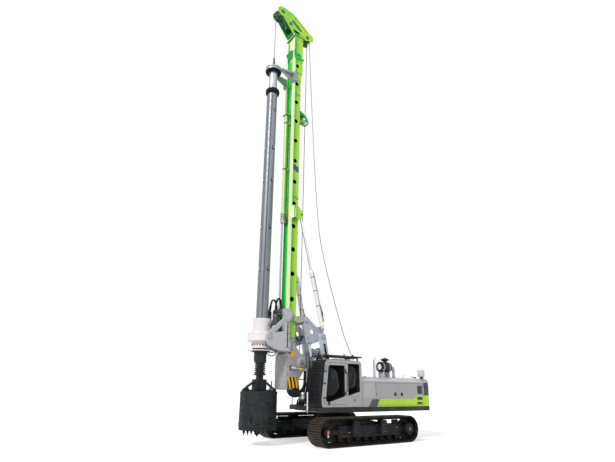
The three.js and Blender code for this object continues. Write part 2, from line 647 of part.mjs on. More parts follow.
// The yoke turns on the support's fore-and-aft pin and carries the mast's tilt pins.
function mastYoke() {
  const cheeks = bothSides((side) => {
    const [y0, y1] = span(side, 425, 500);
    const arm = link({ x: 2040, z: MAST_PIN.z }, MAST_PIN, 90, 135, y0, y1);
    return cut(arm, acrossY(MAST_PIN.x, MAST_PIN.z, 77, y0 - 10, y1 + 10, 24));
  });
  return join(
    cheeks,
    box(1975, 2085, -450, 450, MAST_PIN.z - 95, MAST_PIN.z + 95),
    bar([1770, 0, MAST_PIN.z], [1990, 0, MAST_PIN.z], 77, 24),
    bar([1940, 0, MAST_PIN.z], [1980, 0, MAST_PIN.z], 120, 20),
  );
}

function tiltPoints(side) {
  const foot = [TILT_FOOT.x, side * TILT_FOOT.y, TILT_FOOT.z];
  const head = [TILT_HEAD.x, side * TILT_HEAD.y, TILT_HEAD.z];
  return { foot, head };
}

function tiltBarrel(side) {
  const { foot, head } = tiltPoints(side);
  const gland = towards(foot, head, (TILT_GLAND_Z - TILT_FOOT.z) / 0.975);
  return join(cylinderBarrel(foot, gland, 80, 56), ball(...foot, 66));
}

function tiltRod(side) {
  const { foot, head } = tiltPoints(side);
  return join(bar(towards(foot, head, 1500), head, 46, 12), ball(...head, 58));
}

piece('boom', boom(), GREY);
for (const [name, side] of [['left', 1], ['right', -1]]) {
  piece(`${name}_parallel_link`, parallelLink(side), PALE);
  piece(`${name}_luffing_cylinder`, luffBarrel(side), DARK);
  piece(`${name}_luffing_rod`, luffRod(side), CHROME);
  piece(`${name}_mast_cylinder`, tiltBarrel(side), PALE);
  piece(`${name}_mast_rod`, tiltRod(side), CHROME);
}
piece('mast_support', mastSupport(), GREY);
piece('mast_yoke', mastYoke(), GREY);

// ---------------------------------------------------------------- mast

function mastProfile(z0, z1) {
  return join(
    box(MAST.rear, MAST.front, -MAST.half, MAST.half, z0, z1),
    bothSides((side) => {
      const [y0, y1] = span(side, MAST.railIn, MAST.railOut);
      return box(MAST.front - 10, MAST.rail, y0, y1, z0, z1);
    }),
  );
}

function mast() {
  const crown = join(
    box(2090, MAST.front, -MAST.half - 20, MAST.half + 20, 15700, MAST.top),
    plate([[2090, 15700], [MAST.rear + 5, 15000], [MAST.rear + 5, 15700]], 'xz', -MAST.half, MAST.half),
    box(2000, MAST.rail + 20, -MAST.half - 70, MAST.half + 70, MAST.top - 40, MAST.top),
  );
  const holes = [];
  for (let n = 0; n < HOLE.count; n++) {
    holes.push(acrossY(HOLE.x, HOLE.first + n * HOLE.pitch, HOLE.radius, -MAST.half - 30, MAST.half + 30, 16));
  }
  const trunnions = acrossY(MAST_PIN.x, MAST_PIN.z, 74, -495, 495, 24);
  const collars = bothSides((side) => acrossY(MAST_PIN.x, MAST_PIN.z, 106, ...span(side, 290, 418), 20));
  const brackets = bothSides((side) => {
    const shape = [[2080, 8420], [2300, 8250], [2430, 8400], [2430, 8760], [2300, 8860], [2080, 8640]];
    const ears = [TILT_EARS.inner, TILT_EARS.outer].map((offset) => {
      const y = TILT_HEAD.y + offset;
      return plate(shape, 'xz', ...span(side, y - TILT_EARS.thick / 2, y + TILT_EARS.thick / 2));
    });
    const [p0, p1] = span(side, MAST.half - 20, TILT_HEAD.y + TILT_EARS.outer + TILT_EARS.thick / 2);
    return [...ears, box(2270, 2430, p0, p1, 8620, 8660), box(2390, 2430, p0, p1, 8380, 8760)];
  }).flat();
  const shelves = bothSides((side) => {
    const [y0, y1] = span(side, MAST.half, MAST.half + 110);
    const gusset = [[2180, 16500], [2480, 16500], [2430, 16760], [2230, 16760]];
    return [box(2100, 2560, y0, y1, 16480, 16520), plate(gusset, 'xz', y0, side > 0 ? y1 - 60 : y1)];
  }).flat();
  const frontGusset = plate([[2500, 16550], [2680, 16900], [2500, 16900]], 'xz', -230, 230);
  const ropeGuide = join(
    box(1880, MAST.rear + 20, 40, 90, 13300, 13420),
    box(1880, MAST.rear + 20, -90, -40, 13300, 13420),
    box(1560, 1900, -150, 150, 13300, 13340),
  );
  const ropeSlot = box(1600, 1820, -110, 130, 13280, 13360);
  const crowdRest = box(MAST.front - 10, CROWD.x + 120, -150, 150, CROWD.top + 5, CROWD.top + 60);
  return join(
    cut(join(mastProfile(MAST.bottom, MAST.top - 200), crown), holes),
    trunnions, collars, brackets, shelves, frontGusset, cut(ropeGuide, ropeSlot), crowdRest,
  );
}

function lowerMast() {
  const joint = MAST.bottom - TOUCH;
  const upper = join(
    box(MAST.rear, MAST.front, -MAST.half, MAST.half, LOWER.step - 60, joint),
    bothSides((side) => {
      const [y0, y1] = span(side, MAST.railIn, MAST.railOut);
      return box(MAST.front - 10, MAST.rail, y0, y1, LOWER.step - 60, joint);
    }),
  );
  const trunk = box(LOWER.recess, LOWER.front, -LOWER.half, LOWER.half, LOWER.bottom, LOWER.step);
  const cheeks = bothSides((side) => {
    const [y0, y1] = span(side, 345, LOWER.half);
    const shape = [
      [LOWER.recess + 20, 1800], [2150, 1960], [1780, 2500], [1700, 2720], [1780, 2950], [1960, 3020], [2200, 3300],
      [LOWER.recess + 20, 3400],
    ];
    return cut(plate(shape, 'xz', y0, y1), acrossY(WINCH.x, WINCH.z, 72, y0 - 10, y1 + 10, 28));
  });
  const webs = bothSides((side) => box(2200, LOWER.recess + 30, ...span(side, 290, 360), 3080, 3400));
  const foot = join(
    box(2120, 2560, -LOWER.half, LOWER.half, 1770, 1830),
    bothSides((side) => box(2130, 2500, ...span(side, 330, 400), 1780, 2180)),
  );
  return join(upper, trunk, cheeks, webs, foot);
}

// The crowd cylinder stands on the mast between the rails, and its rod reaches down to the sledge.
function crowdCylinder() {
  const tubeBody = cut(
    join(
      bar([CROWD.x, 0, CROWD.bottom], [CROWD.x, 0, CROWD.top], CROWD.tube, 24),
      bar([CROWD.x, 0, CROWD.bottom], [CROWD.x, 0, CROWD.bottom + 420], CROWD.tube + 18, 24),
    ),
    bar([CROWD.x, 0, CROWD.bottom - 10], [CROWD.x, 0, CROWD.top - 60], CROWD.rod + 14, 24),
  );
  const clamps = [8300, 10600, 12900].map((z) => box(MAST.front + TOUCH, CROWD.x - 70, -110, 110, z, z + 90));
  return join(tubeBody, clamps);
}

piece('mast', mast(), LIME);
piece('lower_mast', lowerMast(), GREY);
piece('main_winch_drum', drum(WINCH.x, WINCH.z, WINCH.barrel, WINCH.flange, WINCH.half, 68), STEEL);
piece('crowd_cylinder', crowdCylinder(), LIME);

// ---------------------------------------------------------------- mast head

// The head leans forward over the kelly bar: two side plates on a foot, with the sheaves between.
function mastHead() {
  const foot = MAST.top + TOUCH;
  const sideShape = new THREE.Shape();
  sideShape.moveTo(2050, foot);
  sideShape.lineTo(2560, foot);
  sideShape.lineTo(2700, foot + 120);
  sideShape.lineTo(HEAD_FRONT.x - 60, HEAD_FRONT.z - 290);
  sideShape.absarc(HEAD_FRONT.x, HEAD_FRONT.z, 270, -Math.PI * 0.55, Math.PI * 0.62, false);
  sideShape.lineTo(2600, 19050);
  sideShape.lineTo(1640, 18400);
  sideShape.absarc(HEAD_REAR.x - 60, HEAD_REAR.z + 60, 300, Math.PI * 0.72, Math.PI * 1.15, false);
  sideShape.lineTo(1700, 17960);
  const window = outline([[2200, 18000], [2560, 18020], [2620, 18200], [2250, 18140]]);
  const slot = outline([[2120, 18300], [2190, 18240], [2700, 18600], [2680, 18700], [2620, 18700]]);
  const walls = bothSides((side) => {
    const [y0, y1] = span(side, 225, 255);
    const openings = [window, slot].map((shape) => plate(shape, 'xz', y0 - 5, y1 + 5));
    return cut(plate(sideShape, 'xz', y0, y1, 10), openings);
  });
  const shafts = [HEAD_FRONT, HEAD_MIDDLE, HEAD_REAR].map((s) => acrossY(s.x, s.z, 40, -250, 250));
  return join(
    walls, shafts,
    box(2060, 2540, -240, 240, foot, foot + 60),
    plate([[2520, foot + 20], [2550, foot + 20], [2680, foot + 135], [2650, foot + 150]], 'xz', -240, 240),
    plate([[2560, 19000], [1720, 18432], [1735, 18400], [2575, 18970]], 'xz', -240, 240),
  );
}

function sheave(wheel, y) {
  const { x, z, r } = wheel;
  const disc = join(
    acrossY(x, z, r + 25, y - 32, y - 14, 18),
    acrossY(x, z, r, y - 20, y + 20, 18),
    acrossY(x, z, r + 25, y + 14, y + 32, 18),
  );
  return cut(disc, acrossY(x, z, 43, y - 60, y + 60, 12));
}

piece('mast_head', mastHead(), LIME);
piece('front_main_sheave', sheave(HEAD_FRONT, MAIN_Y), DARK);
piece('front_auxiliary_sheave', sheave(HEAD_MIDDLE, AUX_Y), DARK);
piece('rear_main_sheave', sheave(HEAD_REAR, MAIN_Y), DARK);
piece('rear_auxiliary_sheave', sheave(HEAD_REAR, AUX_Y), DARK);

// ---------------------------------------------------------------- rotary drive and its sledge

function sledge() {
  const posts = bothSides((side) => {
    const [y0, y1] = span(side, 230, 445);
    const [g0, g1] = span(side, MAST.railOut + CLEAR, 445);
    const [l0, l1] = span(side, MAST.half + CLEAR + 2, 445);
    return join(
      box(MAST.rail + CLEAR, 2740, y0, y1, SLEDGE.bottom, SLEDGE.top),
      [[SLEDGE.bottom, SLEDGE.bottom + 420], [SLEDGE.top - 420, SLEDGE.top]].map(([z0, z1]) => join(
        box(MAST.front - 58, MAST.rail + CLEAR + 5, g0, g1, z0, z1),
        box(MAST.front - 58, MAST.front - 10 - CLEAR, l0, l1, z0, z1),
      )),
    );
  });
  const cheeks = bothSides((side) => {
    const [y0, y1] = span(side, SLEDGE.plate, SLEDGE.outer);
    const shape = [
      [2620, SLEDGE.bottom], [3000, SLEDGE.bottom], [3330, 3150], [3530, 3260], [3590, 3420], [3570, 3640],
      [3480, 3740], [2860, 4280], [2620, 4330],
    ];
    const window = [[2820, 3780], [3250, 3700], [2860, 4060]];
    return cut(plate(shape, 'xz', y0, y1), plate(window, 'xz', y0 - 5, y1 + 5));
  });
  const bridges = bothSides((side) => {
    const [y0, y1] = span(side, 400, 540);
    return [box(2640, 2740, y0, y1, SLEDGE.bottom + 60, SLEDGE.bottom + 360), box(2640, 2740, y0, y1, 3950, 4250)];
  }).flat();
  const cross = [
    box(MAST.rail + CLEAR + 25, 2740, -300, 300, SLEDGE.bottom, SLEDGE.bottom + 120),
    box(MAST.rail + CLEAR + 25, 2740, -300, 300, 3500, 3640),
    box(MAST.rail + CLEAR + 25, 2770, -300, 300, SLEDGE.top - 180, SLEDGE.top),
  ];
  return join(posts, cheeks, bridges, cross);
}

function crowdRod() {
  return bar([CROWD.x, 0, SLEDGE.top + TOUCH], [CROWD.x, 0, CROWD.bottom + 1100], CROWD.rod, 20);
}

function rotaryDrive() {
  const b = DRIVE.bore;
  const body = turned([
    [b, DRIVE.bottom], [330, DRIVE.bottom], [330, 3060], [480, 3060], [480, 3090], [300, 3090], [300, 3150],
    [345, 3165], [345, 3360], [500, 3400], [505, 3420], [505, 3700], [490, 3725], [325, 3750], [325, 4120],
    [345, 4130], [345, DRIVE.top], [b, DRIVE.top], [b, DRIVE.bottom],
  ], 0, 0, 24);
  const motors = bothSides((side) => join(
    turned([[0, 3690], [130, 3690], [130, 4060], [95, 4080], [95, 4420], [0, 4420]], -420, side * 215, 12),
    box(-500, -340, side * 215 - 70, side * 215 + 70, 4300, 4560),
  ));
  const rearCase = box(-560, -200, -360, 360, 3405, 3700);
  const [low, high] = [DRIVE.bottom - 20, DRIVE.top + 20];
  const bore = turned([[0, low], [b, low], [b, high], [0, high]], 0, 0, 24);
  const lugs = bothSides((side) => acrossY(0, 3560, 90, ...span(side, 440, SLEDGE.plate - TOUCH), 20));
  return cut(join(body, rearCase, motors, lugs), bore);
}

piece('rotary_sledge', sledge(), PALE);
piece('crowd_rod', crowdRod(), CHROME);
piece('rotary_drive', rotaryDrive(), PALE, kellyString);

// ---------------------------------------------------------------- kelly bar, guide and bucket

function kellyGuide() {
  const [foot, head] = [GUIDE_Z - 70, GUIDE_Z + 110];
  const ring = turned([[288, foot], [360, foot], [360, head], [288, head], [288, foot]], 0, 0, 28);
  const mastFace = MAST.rail + CLEAR - KELLY_X;
  const arms = bothSides((side) => {
    const shape = side > 0
      ? [[mastFace, 240], [mastFace, 440], [-260, 300], [-170, 250], [-230, 150], [-320, 190]]
      : [[mastFace, -240], [-320, -190], [-230, -150], [-170, -250], [-260, -300], [mastFace, -440]];
    return plate(shape, 'xy', GUIDE_Z + 20, GUIDE_Z + 110);
  });
  const braces = bothSides((side) => {
    const [y0, y1] = span(side, 240, 285);
    const brace = [[mastFace, -330], [mastFace + 60, -330], [-300, -60], [-300, 60], [mastFace, 60]];
    return plate(brace.map(([x, z]) => [x, GUIDE_Z + z]), 'xz', y0, y1);
  });
  const shoes = bothSides((side) => {
    const [g0, g1] = span(side, MAST.railOut + CLEAR, 440);
    const [l0, l1] = span(side, MAST.half + CLEAR + 22, 440);
    const [f0, f1] = span(side, 240, 440);
    const [low, high] = [GUIDE_Z - 350, GUIDE_Z + 130];
    return join(
      box(mastFace, mastFace + 60, f0, f1, low, high),
      box(MAST.front - 58 - KELLY_X, mastFace + 5, g0, g1, low, high),
      box(MAST.front - 58 - KELLY_X, MAST.front - 10 - CLEAR - KELLY_X, l0, l1, low, high),
    );
  });
  const [under, above] = [GUIDE_Z - 80, GUIDE_Z + 120];
  const hollow = turned([[0, under], [292, under], [292, above], [0, above]], 0, 0, 28);
  return cut(join(ring, arms, braces, shoes), hollow);
}

function kellyBar() {
  const { radius, bore, top, bottom } = KELLY;
  const tubeBody = turned([
    [bore, bottom], [radius, bottom], [radius, top], [300, top + 40], [300, top + 190], [180, top + 210],
    [180, GUIDE_Z - 110], [345, GUIDE_Z - 110], [345, GUIDE_Z - 78], [278, GUIDE_Z - 78], [278, GUIDE_Z + 60],
    [60, GUIDE_Z + 90], [55, GUIDE_Z + 380], [34, GUIDE_Z + 400], [34, top + 300], [bore - 40, top + 180],
    [bore - 40, top], [bore, top - 60], [bore, bottom],
  ], 0, 0, 20);
  const ribs = [];
  for (let n = 0; n < 3; n++) {
    const rib = box(radius - 8, radius + KELLY.rib, -28, 28, bottom + 20, top - 100);
    ribs.push(rib.rotate([0, 0, n * 120 + 90]));
  }
  return join(tubeBody, ribs);
}

// The innermost bar's lower end: the damper spring under the drive, and the square stub in the bucket.
function kellyStub() {
  return join(
    turned([
      [0, 2240], [215, 2240], [215, 2285], [190, 2300], [190, 2640], [120, 2655], [120, 3300], [0, 3300],
    ], 0, 0, 20),
    box(-100, 100, -100, 100, 1750, 2260),
  );
}

function bucketBody() {
  const { radius, top, bottom, wall } = BUCKET;
  const barrel = turned([
    [radius - wall, bottom + 40], [radius, bottom + 40], [radius, top - 20], [radius - 15, top], [180, top],
    [180, top - 40], [radius - wall, top - 40], [radius - wall, bottom + 40],
  ], 0, 0, 32);
  const socket = cut(box(-190, 190, -190, 190, top - 60, 2110), box(-104, 104, -104, 104, top - 70, 2120));
  const gussets = [];
  for (let n = 0; n < 4; n++) {
    const edge = [[170, top - 20], [620, top - 20], [620, top + 40], [250, top + 330], [170, top + 330]];
    const fin = plate(edge, 'xz', -16, 16);
    const hole = plate([[250, top + 50], [500, top + 50], [250, top + 230]], 'xz', -30, 30);
    gussets.push(cut(fin, hole).rotate([0, 0, n * 90 + 45]));
  }
  const vents = [40, 140, 220, 320].map((angle) => box(560, 700, -22, 22, 650, 890).rotate([0, 0, angle]));
  const pin = GATE_PIN;
  const ears = bothSides((side) => {
    const shape = [
      [pin.x - 30, pin.z - 10], [pin.x - 12, pin.z - 24], [pin.x + 10, pin.z - 24], [pin.x + 22, pin.z - 8],
      [pin.x + 22, 565], [pin.x + 60, 565], [pin.x + 60, 820], [pin.x - 30, 660],
    ];
    return plate(shape, 'xz', ...span(side, 55, 80));
  });
  return join(cut(barrel, vents), socket, gussets, ears, acrossY(pin.x, pin.z, pin.radius, -76, 76));
}

// The bottom gate, with its cutting teeth and pilot, hinged under the bucket's rear edge.
function bucketGate() {
  const { radius, bottom } = BUCKET;
  const [rim, under, over] = [radius - 10, bottom - 40, bottom + 34];
  const disc = turned([[0, under], [rim, under], [rim, over], [0, over]], 0, 0, 32);
  const mouths = [
    box(60, radius - 120, 60, 300, bottom - 60, bottom + 60),
    box(-radius + 120, -60, -300, -60, bottom - 60, bottom + 60),
  ];
  const teeth = [];
  for (const side of [1, -1]) {
    for (let n = 0; n < 4; n++) {
      const x = side * (110 + n * 140);
      const shape = [[x - 45, bottom - 30], [x + 45, bottom - 30], [x + 20, bottom - 200], [x - 10, bottom - 215]];
      teeth.push(plate(shape, 'xz', side * 40 - 22, side * 40 + 22));
    }
  }
  const pilot = turned([
    [0, bottom - 270], [30, bottom - 240], [90, bottom - 120], [90, bottom - 30], [0, bottom - 30],
  ], 0, 0, 12);
  const tongue = cut(
    box(GATE_PIN.x - 32, -radius + 80, -50, 50, bottom - 40, bottom + 25),
    acrossY(GATE_PIN.x, GATE_PIN.z, GATE_PIN.eye, -80, 80),
  );
  return join(cut(disc, mouths), teeth, pilot, tongue);
}

piece('kelly_guide', kellyGuide(), PALE, kellyString);
piece('kelly_bar', kellyBar(), STEEL, kellyString);
piece('kelly_stub', kellyStub(), DARK, kellyString);
piece('drilling_bucket', bucketBody(), EARTH, kellyString);
piece('bucket_gate', bucketGate(), EARTH, kellyString);

// ---------------------------------------------------------------- ropes

function ropeFrom(wheelA, sideA, wheelB, sideB, y, radius) {
  const a = [wheelA.x + sideA * (wheelA.r + radius + 1), y, wheelA.z];
  const b = [wheelB.x + sideB * (wheelB.r + radius + 1), y, wheelB.z];
  return bar(a, b, radius, 8);
}

const WINCH_LEAD = { x: WINCH.x, z: WINCH.z + 20, r: WINCH.barrel };
const HEAD_LEAD = { ...HEAD_REAR, z: HEAD_REAR.z - 30 };
piece('main_rope', ropeFrom(WINCH_LEAD, -1, HEAD_LEAD, -1, MAIN_Y, ROPE), DARK);
piece('kelly_rope', bar([0, 0, HEAD_FRONT.z - 240], [0, 0, 9200], ROPE, 8), DARK, kellyString);

// The auxiliary rope hangs slack from the head to the winch on the deck.
const AUX_ROPE = [
  [HEAD_REAR.x - HEAD_REAR.r - ROPE - 1, AUX_Y, HEAD_REAR.z - 10], [1390, AUX_Y, 14500], [1030, AUX_Y, 9170],
  [650, AUX_Y, 6970], [-290, AUX_Y, 4120], [-750, AUX_Y, 3150], [-1375, AUX_Y, 1830],
];
piece('auxiliary_rope', tube(AUX_ROPE, ROPE, 2, 24), DARK);

export default machine;
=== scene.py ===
# A rotary piling rig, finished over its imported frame. Metres, +X forward, +Y left, +Z up.
# Coordinates given to P() are measured from the slewing axis, and those given to K() from the kelly bar.

import math

import bmesh
import bpy
from mathutils import Matrix, Vector
from mathutils.geometry import tessellate_polygon
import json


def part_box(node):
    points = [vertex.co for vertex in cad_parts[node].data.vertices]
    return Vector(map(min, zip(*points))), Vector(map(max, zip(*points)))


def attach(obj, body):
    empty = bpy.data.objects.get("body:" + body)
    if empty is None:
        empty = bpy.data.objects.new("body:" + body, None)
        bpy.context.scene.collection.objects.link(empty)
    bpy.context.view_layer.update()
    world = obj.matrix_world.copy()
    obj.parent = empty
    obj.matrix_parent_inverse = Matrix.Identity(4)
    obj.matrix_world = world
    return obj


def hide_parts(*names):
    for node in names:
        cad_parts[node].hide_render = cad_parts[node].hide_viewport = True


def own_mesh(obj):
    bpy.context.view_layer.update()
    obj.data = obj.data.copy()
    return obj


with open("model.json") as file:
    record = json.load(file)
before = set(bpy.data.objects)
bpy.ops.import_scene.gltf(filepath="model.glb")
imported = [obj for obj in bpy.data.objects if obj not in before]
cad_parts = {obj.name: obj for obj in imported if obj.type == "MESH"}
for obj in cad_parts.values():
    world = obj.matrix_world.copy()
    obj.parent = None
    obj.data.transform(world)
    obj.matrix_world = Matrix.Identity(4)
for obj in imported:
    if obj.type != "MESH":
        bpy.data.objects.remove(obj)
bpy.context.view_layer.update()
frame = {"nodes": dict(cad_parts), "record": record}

JOINTS = {joint["name"]: joint for joint in frame["record"]["behaviour"]["joints"]}
AXIS_X = JOINTS["slew"]["pos_m"][0]
KELLY_X = JOINTS["kelly_spin"]["pos_m"][0]
SIDES = {"left": 1, "right": -1}

# places that several pieces share, from the slewing axis and the ground
HOUSING_FACE = 1.51
HOOD_TOP = 2.27
ON_HOOD = 2.2705
WINCH_X, WINCH_Z = 1.96, 2.72
TILT_X, TILT_Z = 2.2, 4.27
ROD_PIN_X, ROD_PIN_Z = 2.15, 8.53
CROWD_X = 2.69
FRONT_MAIN_WHEEL, FRONT_AUXILIARY_WHEEL, REAR_WHEELS = (3.24, 18.9), (2.78, 18.42), (1.79, 18.11)
MAIN_ROPE_Y, AUXILIARY_ROPE_Y = -0.09, 0.11
ROPE_RADIUS = 0.013
SHOES = 48


def P(x, y, z):
    return Vector((AXIS_X + x, y, z))


def K(x, y, z):
    return Vector((KELLY_X + x, y, z))


def pin(joint):
    return Vector(JOINTS[joint]["pos_m"])


def span(side, inner, outer):
    return (inner, outer) if side > 0 else (-outer, -inner)


# ---------------------------------------------------------------- looks


def linear(code):
    """The linear colour of an sRGB hex code."""
    values = [int(code[i : i + 2], 16) / 255 for i in (0, 2, 4)]
    return [v / 12.92 if v <= 0.04045 else ((v + 0.055) / 1.055) ** 2.4 for v in values]


def shade(colour, amount):
    return [min(1.0, c * amount) for c in colour]


class Look:
    """A procedural material, built up from a shader and a few textures."""

    def __init__(self, name, rough=0.5, metal=0.0, coat=0.0, gloss=0.5):
        self.material = bpy.data.materials.new(name)
        self.material.use_nodes = True
        self.tree = self.material.node_tree
        self.shader = self.tree.nodes["Principled BSDF"]
        self.shader.inputs["Roughness"].default_value = rough
        self.shader.inputs["Metallic"].default_value = metal
        self.shader.inputs["Coat Weight"].default_value = coat
        self.shader.inputs["Specular IOR Level"].default_value = gloss
        self.rough = rough
        self.coords = self.add("TexCoord", "Object")

    def add(self, kind, output, inputs=None, **settings):
        """A node of the kind named, with its settings made and its inputs fed; gives back one output."""
        node = self.tree.nodes.new("ShaderNode" + kind)
        for name, value in settings.items():
            setattr(node, name, value)
        for name, value in (inputs or {}).items():
            self.feed(node.inputs[name], value)
        return node.outputs[output]

    def feed(self, socket, value):
        if isinstance(value, bpy.types.NodeSocket):
            self.tree.links.new(value, socket)
        elif isinstance(value, (list, tuple)):
            socket.default_value = (*value, 1.0) if len(value) == 3 and socket.type == "RGBA" else value
        else:
            socket.default_value = value

    def stretched(self, stretch):
        return self.add("Mapping", "Vector", {"Vector": self.coords, "Scale": stretch})

    def noise(self, scale, detail=3, stretch=(1, 1, 1)):
        inputs = {"Scale": scale, "Detail": detail, "Vector": self.stretched(stretch)}
        return self.add("TexNoise", "Fac", inputs)

    def bands(self, scale, stretch):
        inputs = {"Scale": scale, "Vector": self.stretched(stretch)}
        return self.add("TexWave", "Fac", inputs, bands_direction="DIAGONAL")

    def part(self, axis, of=None):
        return self.add("SeparateXYZ", axis, {0: of or self.coords})

    def along(self):
        """How far forward of the slewing axis a point lies."""
        return self.math("SUBTRACT", self.part("X"), AXIS_X)

    def normal(self, axis):
        """The way a face looks, in the object's own axes."""
        return self.part(axis, self.add("TexCoord", "Normal"))

    def remap(self, value, low, high, to_low=0.0, to_high=1.0):
        inputs = {"Value": value, "From Min": low, "From Max": high, "To Min": to_low, "To Max": to_high}
        return self.add("MapRange", "Result", inputs)

    def math(self, operation, a, b):
        return self.add("Math", 0, {0: a, 1: b}, operation=operation)

    def above(self, a, b):
        return self.math("GREATER_THAN", a, b)

    def below(self, a, b):
        return self.math("LESS_THAN", a, b)

    def times(self, a, b):
        return self.math("MULTIPLY", a, b)

    def between(self, value, low, high):
        return self.times(self.above(value, low), self.below(value, high))

    def mix(self, factor, a, b):
        return self.add("Mix", 2, {0: factor, 6: a, 7: b}, data_type="RGBA")

    def colour(self, value):
        self.feed(self.shader.inputs["Base Color"], value)

    def uneven(self, scale=9, spread=0.2):
        """Roughness that varies over the surface."""
        value = self.remap(self.noise(scale, 3), 0.3, 0.7, self.rough * (1 - spread),
                           self.rough * (1 + spread))
        self.feed(self.shader.inputs["Roughness"], value)

    def bump(self, height, strength, distance):
        inputs = {"Strength": strength, "Distance": distance, "Height": height}
        self.feed(self.shader.inputs["Normal"], self.add("Bump", "Normal", inputs))

    def painted(self, base, grain=0.06):
        """The material of a painted surface: its colour, an uneven gloss and a fine grain."""
        self.colour(base)
        self.uneven()
        self.bump(self.noise(120, 2), grain, 0.002)
        return self.material


DUST = "8b8176"


def enamel(look, colour, vary=0.07, streaks=0.22):
    """The colour of a painted surface: soft clouds, and faint runs of rain down it."""
    tone = look.mix(look.noise(0.8, 4), shade(colour, 1 - vary), shade(colour, 1 + vary))
    runs = look.remap(look.noise(3.0, 5, (1, 1, 0.1)), 0.5, 0.75, 0.0, streaks)
    return look.mix(runs, tone, shade(colour, 0.7))


def dusty(look, base, dust, top=1.6):
    """Dust that thins out with height, in patches."""
    low = look.remap(look.part("Z"), top, 0.0, 0.0, 0.45)
    patches = look.remap(look.noise(2.4, 6), 0.42, 0.68)
    return look.mix(look.times(low, patches), base, dust)


def paint(name, code, rough=0.36, coat=0.2, streaks=0.22, dust=True, gloss=0.5):
    look = Look(name, rough, coat=coat, gloss=gloss)
    base = enamel(look, linear(code), streaks=streaks)
    if dust:
        base = dusty(look, base, linear(DUST))
    return look.painted(base)


def lime_paint(name, front_side, rear_side, forward, below, inside_of=None):
    """Lime paint, yellower to the rear and deep green on small gussets and a shelf band, with painted light:
    a pale painted highlight on forward faces and deep green painted shade underneath.
    """
    look = Look(name, 0.42, coat=0.05, gloss=0.25)
    x, y, z = look.along(), look.math("ABSOLUTE", look.part("Y"), 0), look.part("Z")
    mast_front, gusset_side, shelf_side, shelf_zone = 2.506, 0.236, 0.326, (16.44, 16.95)
    deep = linear(below)
    base = look.mix(look.remap(x, 2.47, 2.24), enamel(look, linear(front_side)),
                    enamel(look, linear(rear_side)))
    # faces turned forward are paler: a painted highlight for light from the front
    base = look.mix(look.remap(look.normal("X"), 0.35, 0.8), base,
                    enamel(look, linear(forward), streaks=0.12))
    # faces turned down are deep green: painted shade under them
    base = look.mix(look.remap(look.normal("Z"), -0.35, -0.8), base, deep)
    # the front gusset and the shelf band are deep green in their own right
    front_gusset = look.times(look.above(x, mast_front), look.below(y, gusset_side))
    shelf = look.above(y, shelf_side)
    marked = look.math("MAXIMUM", front_gusset, shelf)
    base = look.mix(look.times(marked, look.between(z, *shelf_zone)), base, deep)
    # faces turned inward inside the head go deep green as painted shade
    if inside_of:
        hollow_shade = look.times(look.below(look.part("Y"), inside_of), look.above(look.normal("Y"), 0.5))
        base = look.mix(hollow_shade, base, deep)
    return look.painted(base)


def cab_paint(name, code):
    """Cab paint, with the frame round the windscreen black."""
    look = Look(name, 0.36, coat=0.2)
    x = look.along()
    front = look.times(look.above(x, 1.55), look.above(look.normal("X"), 0.6))
    base = dusty(look, enamel(look, linear(code)), linear(DUST))
    return look.painted(look.mix(front, base, linear("1b1d1f")))


def banded(name, upper_code):
    """Housing paint: the upper colour, paled and blued on upward faces as a painted sky reflection, with a
    lime band that steps up towards the rear and a dark wedge.
    """
    look = Look(name, 0.36, coat=0.2)
    x, z = look.along(), look.part("Z")
    band_top, step_top, step_rear, step_front = 1.475, 1.61, -2.98, -2.80
    upper = enamel(look, linear(upper_code), streaks=0.12)
    # upward faces lighter and bluer: a painted reflection of the sky
    sky = look.remap(look.normal("Z"), 0.25, 0.6, 0.0, 0.45)
    upper = look.mix(sky, upper, linear("c3c8d6"))
    lime = enamel(look, linear("a9d21a"), streaks=0.1)
    under = look.below(z, look.remap(x, step_front, step_rear, band_top, step_top))
    slant = look.times(look.math("SUBTRACT", z, 1.2), 0.62)
    behind = look.below(look.math("ADD", x, slant), -0.73)
    band = look.times(under, behind)
    wedge_front = look.below(look.math("ADD", x, look.times(slant, 1.25)), -0.31)
    wedge = look.times(look.below(z, band_top), wedge_front)
    base = look.mix(wedge, upper, linear("3b3f3c"))
    return look.painted(look.mix(band, base, lime), 0.05)


def bare_metal(name, code, rough=0.4, metal=0.85, streaks=0.5, stretch=(7, 7, 0.3)):
    look = Look(name, rough, metal)
    colour = linear(code)
    lines = look.remap(look.noise(1.0, 5, stretch), 0.44, 0.66, 0.0, streaks)
    base = look.mix(look.noise(5, 4), shade(colour, 0.86), shade(colour, 1.12))
    look.colour(look.mix(lines, base, shade(colour, 0.45)))
    look.uneven(12, 0.3)
    look.bump(look.noise(60, 3), 0.08, 0.003)
    return look.material


def worn_iron(name, code, earth, amount=0.6, rough=0.7, metal=0.35, scale=6, gloss=0.25):
    """Dark iron with dried soil and light rust in patches."""
    look = Look(name, rough, metal, gloss=gloss)
    colour = linear(code)
    base = look.mix(look.noise(3, 5), shade(colour, 0.75), shade(colour, 1.3))
    patches = look.remap(look.noise(scale, 6), 0.46, 0.7, 0.0, amount)
    look.colour(look.mix(patches, base, linear(earth)))
    look.uneven(8, 0.25)
    look.bump(look.noise(45, 5), 0.25, 0.006)
    return look.material


def woven(name, code):
    look = Look(name, 0.85)
    colour = linear(code)
    threads = look.times(look.bands(60, (1, 0, 1)), look.bands(60, (0, 1, 1)))
    look.colour(look.mix(threads, shade(colour, 0.7), shade(colour, 1.25)))
    look.bump(threads, 0.4, 0.002)
    return look.material


def laid_rope(name):
    look = Look(name, 0.5, 0.6)
    strands = look.bands(14, (1.2, 1.2, 1.0))
    look.colour(look.mix(strands, linear("3c3f42"), linear("85898c")))
    look.bump(strands, 0.5, 0.004)
    return look.material


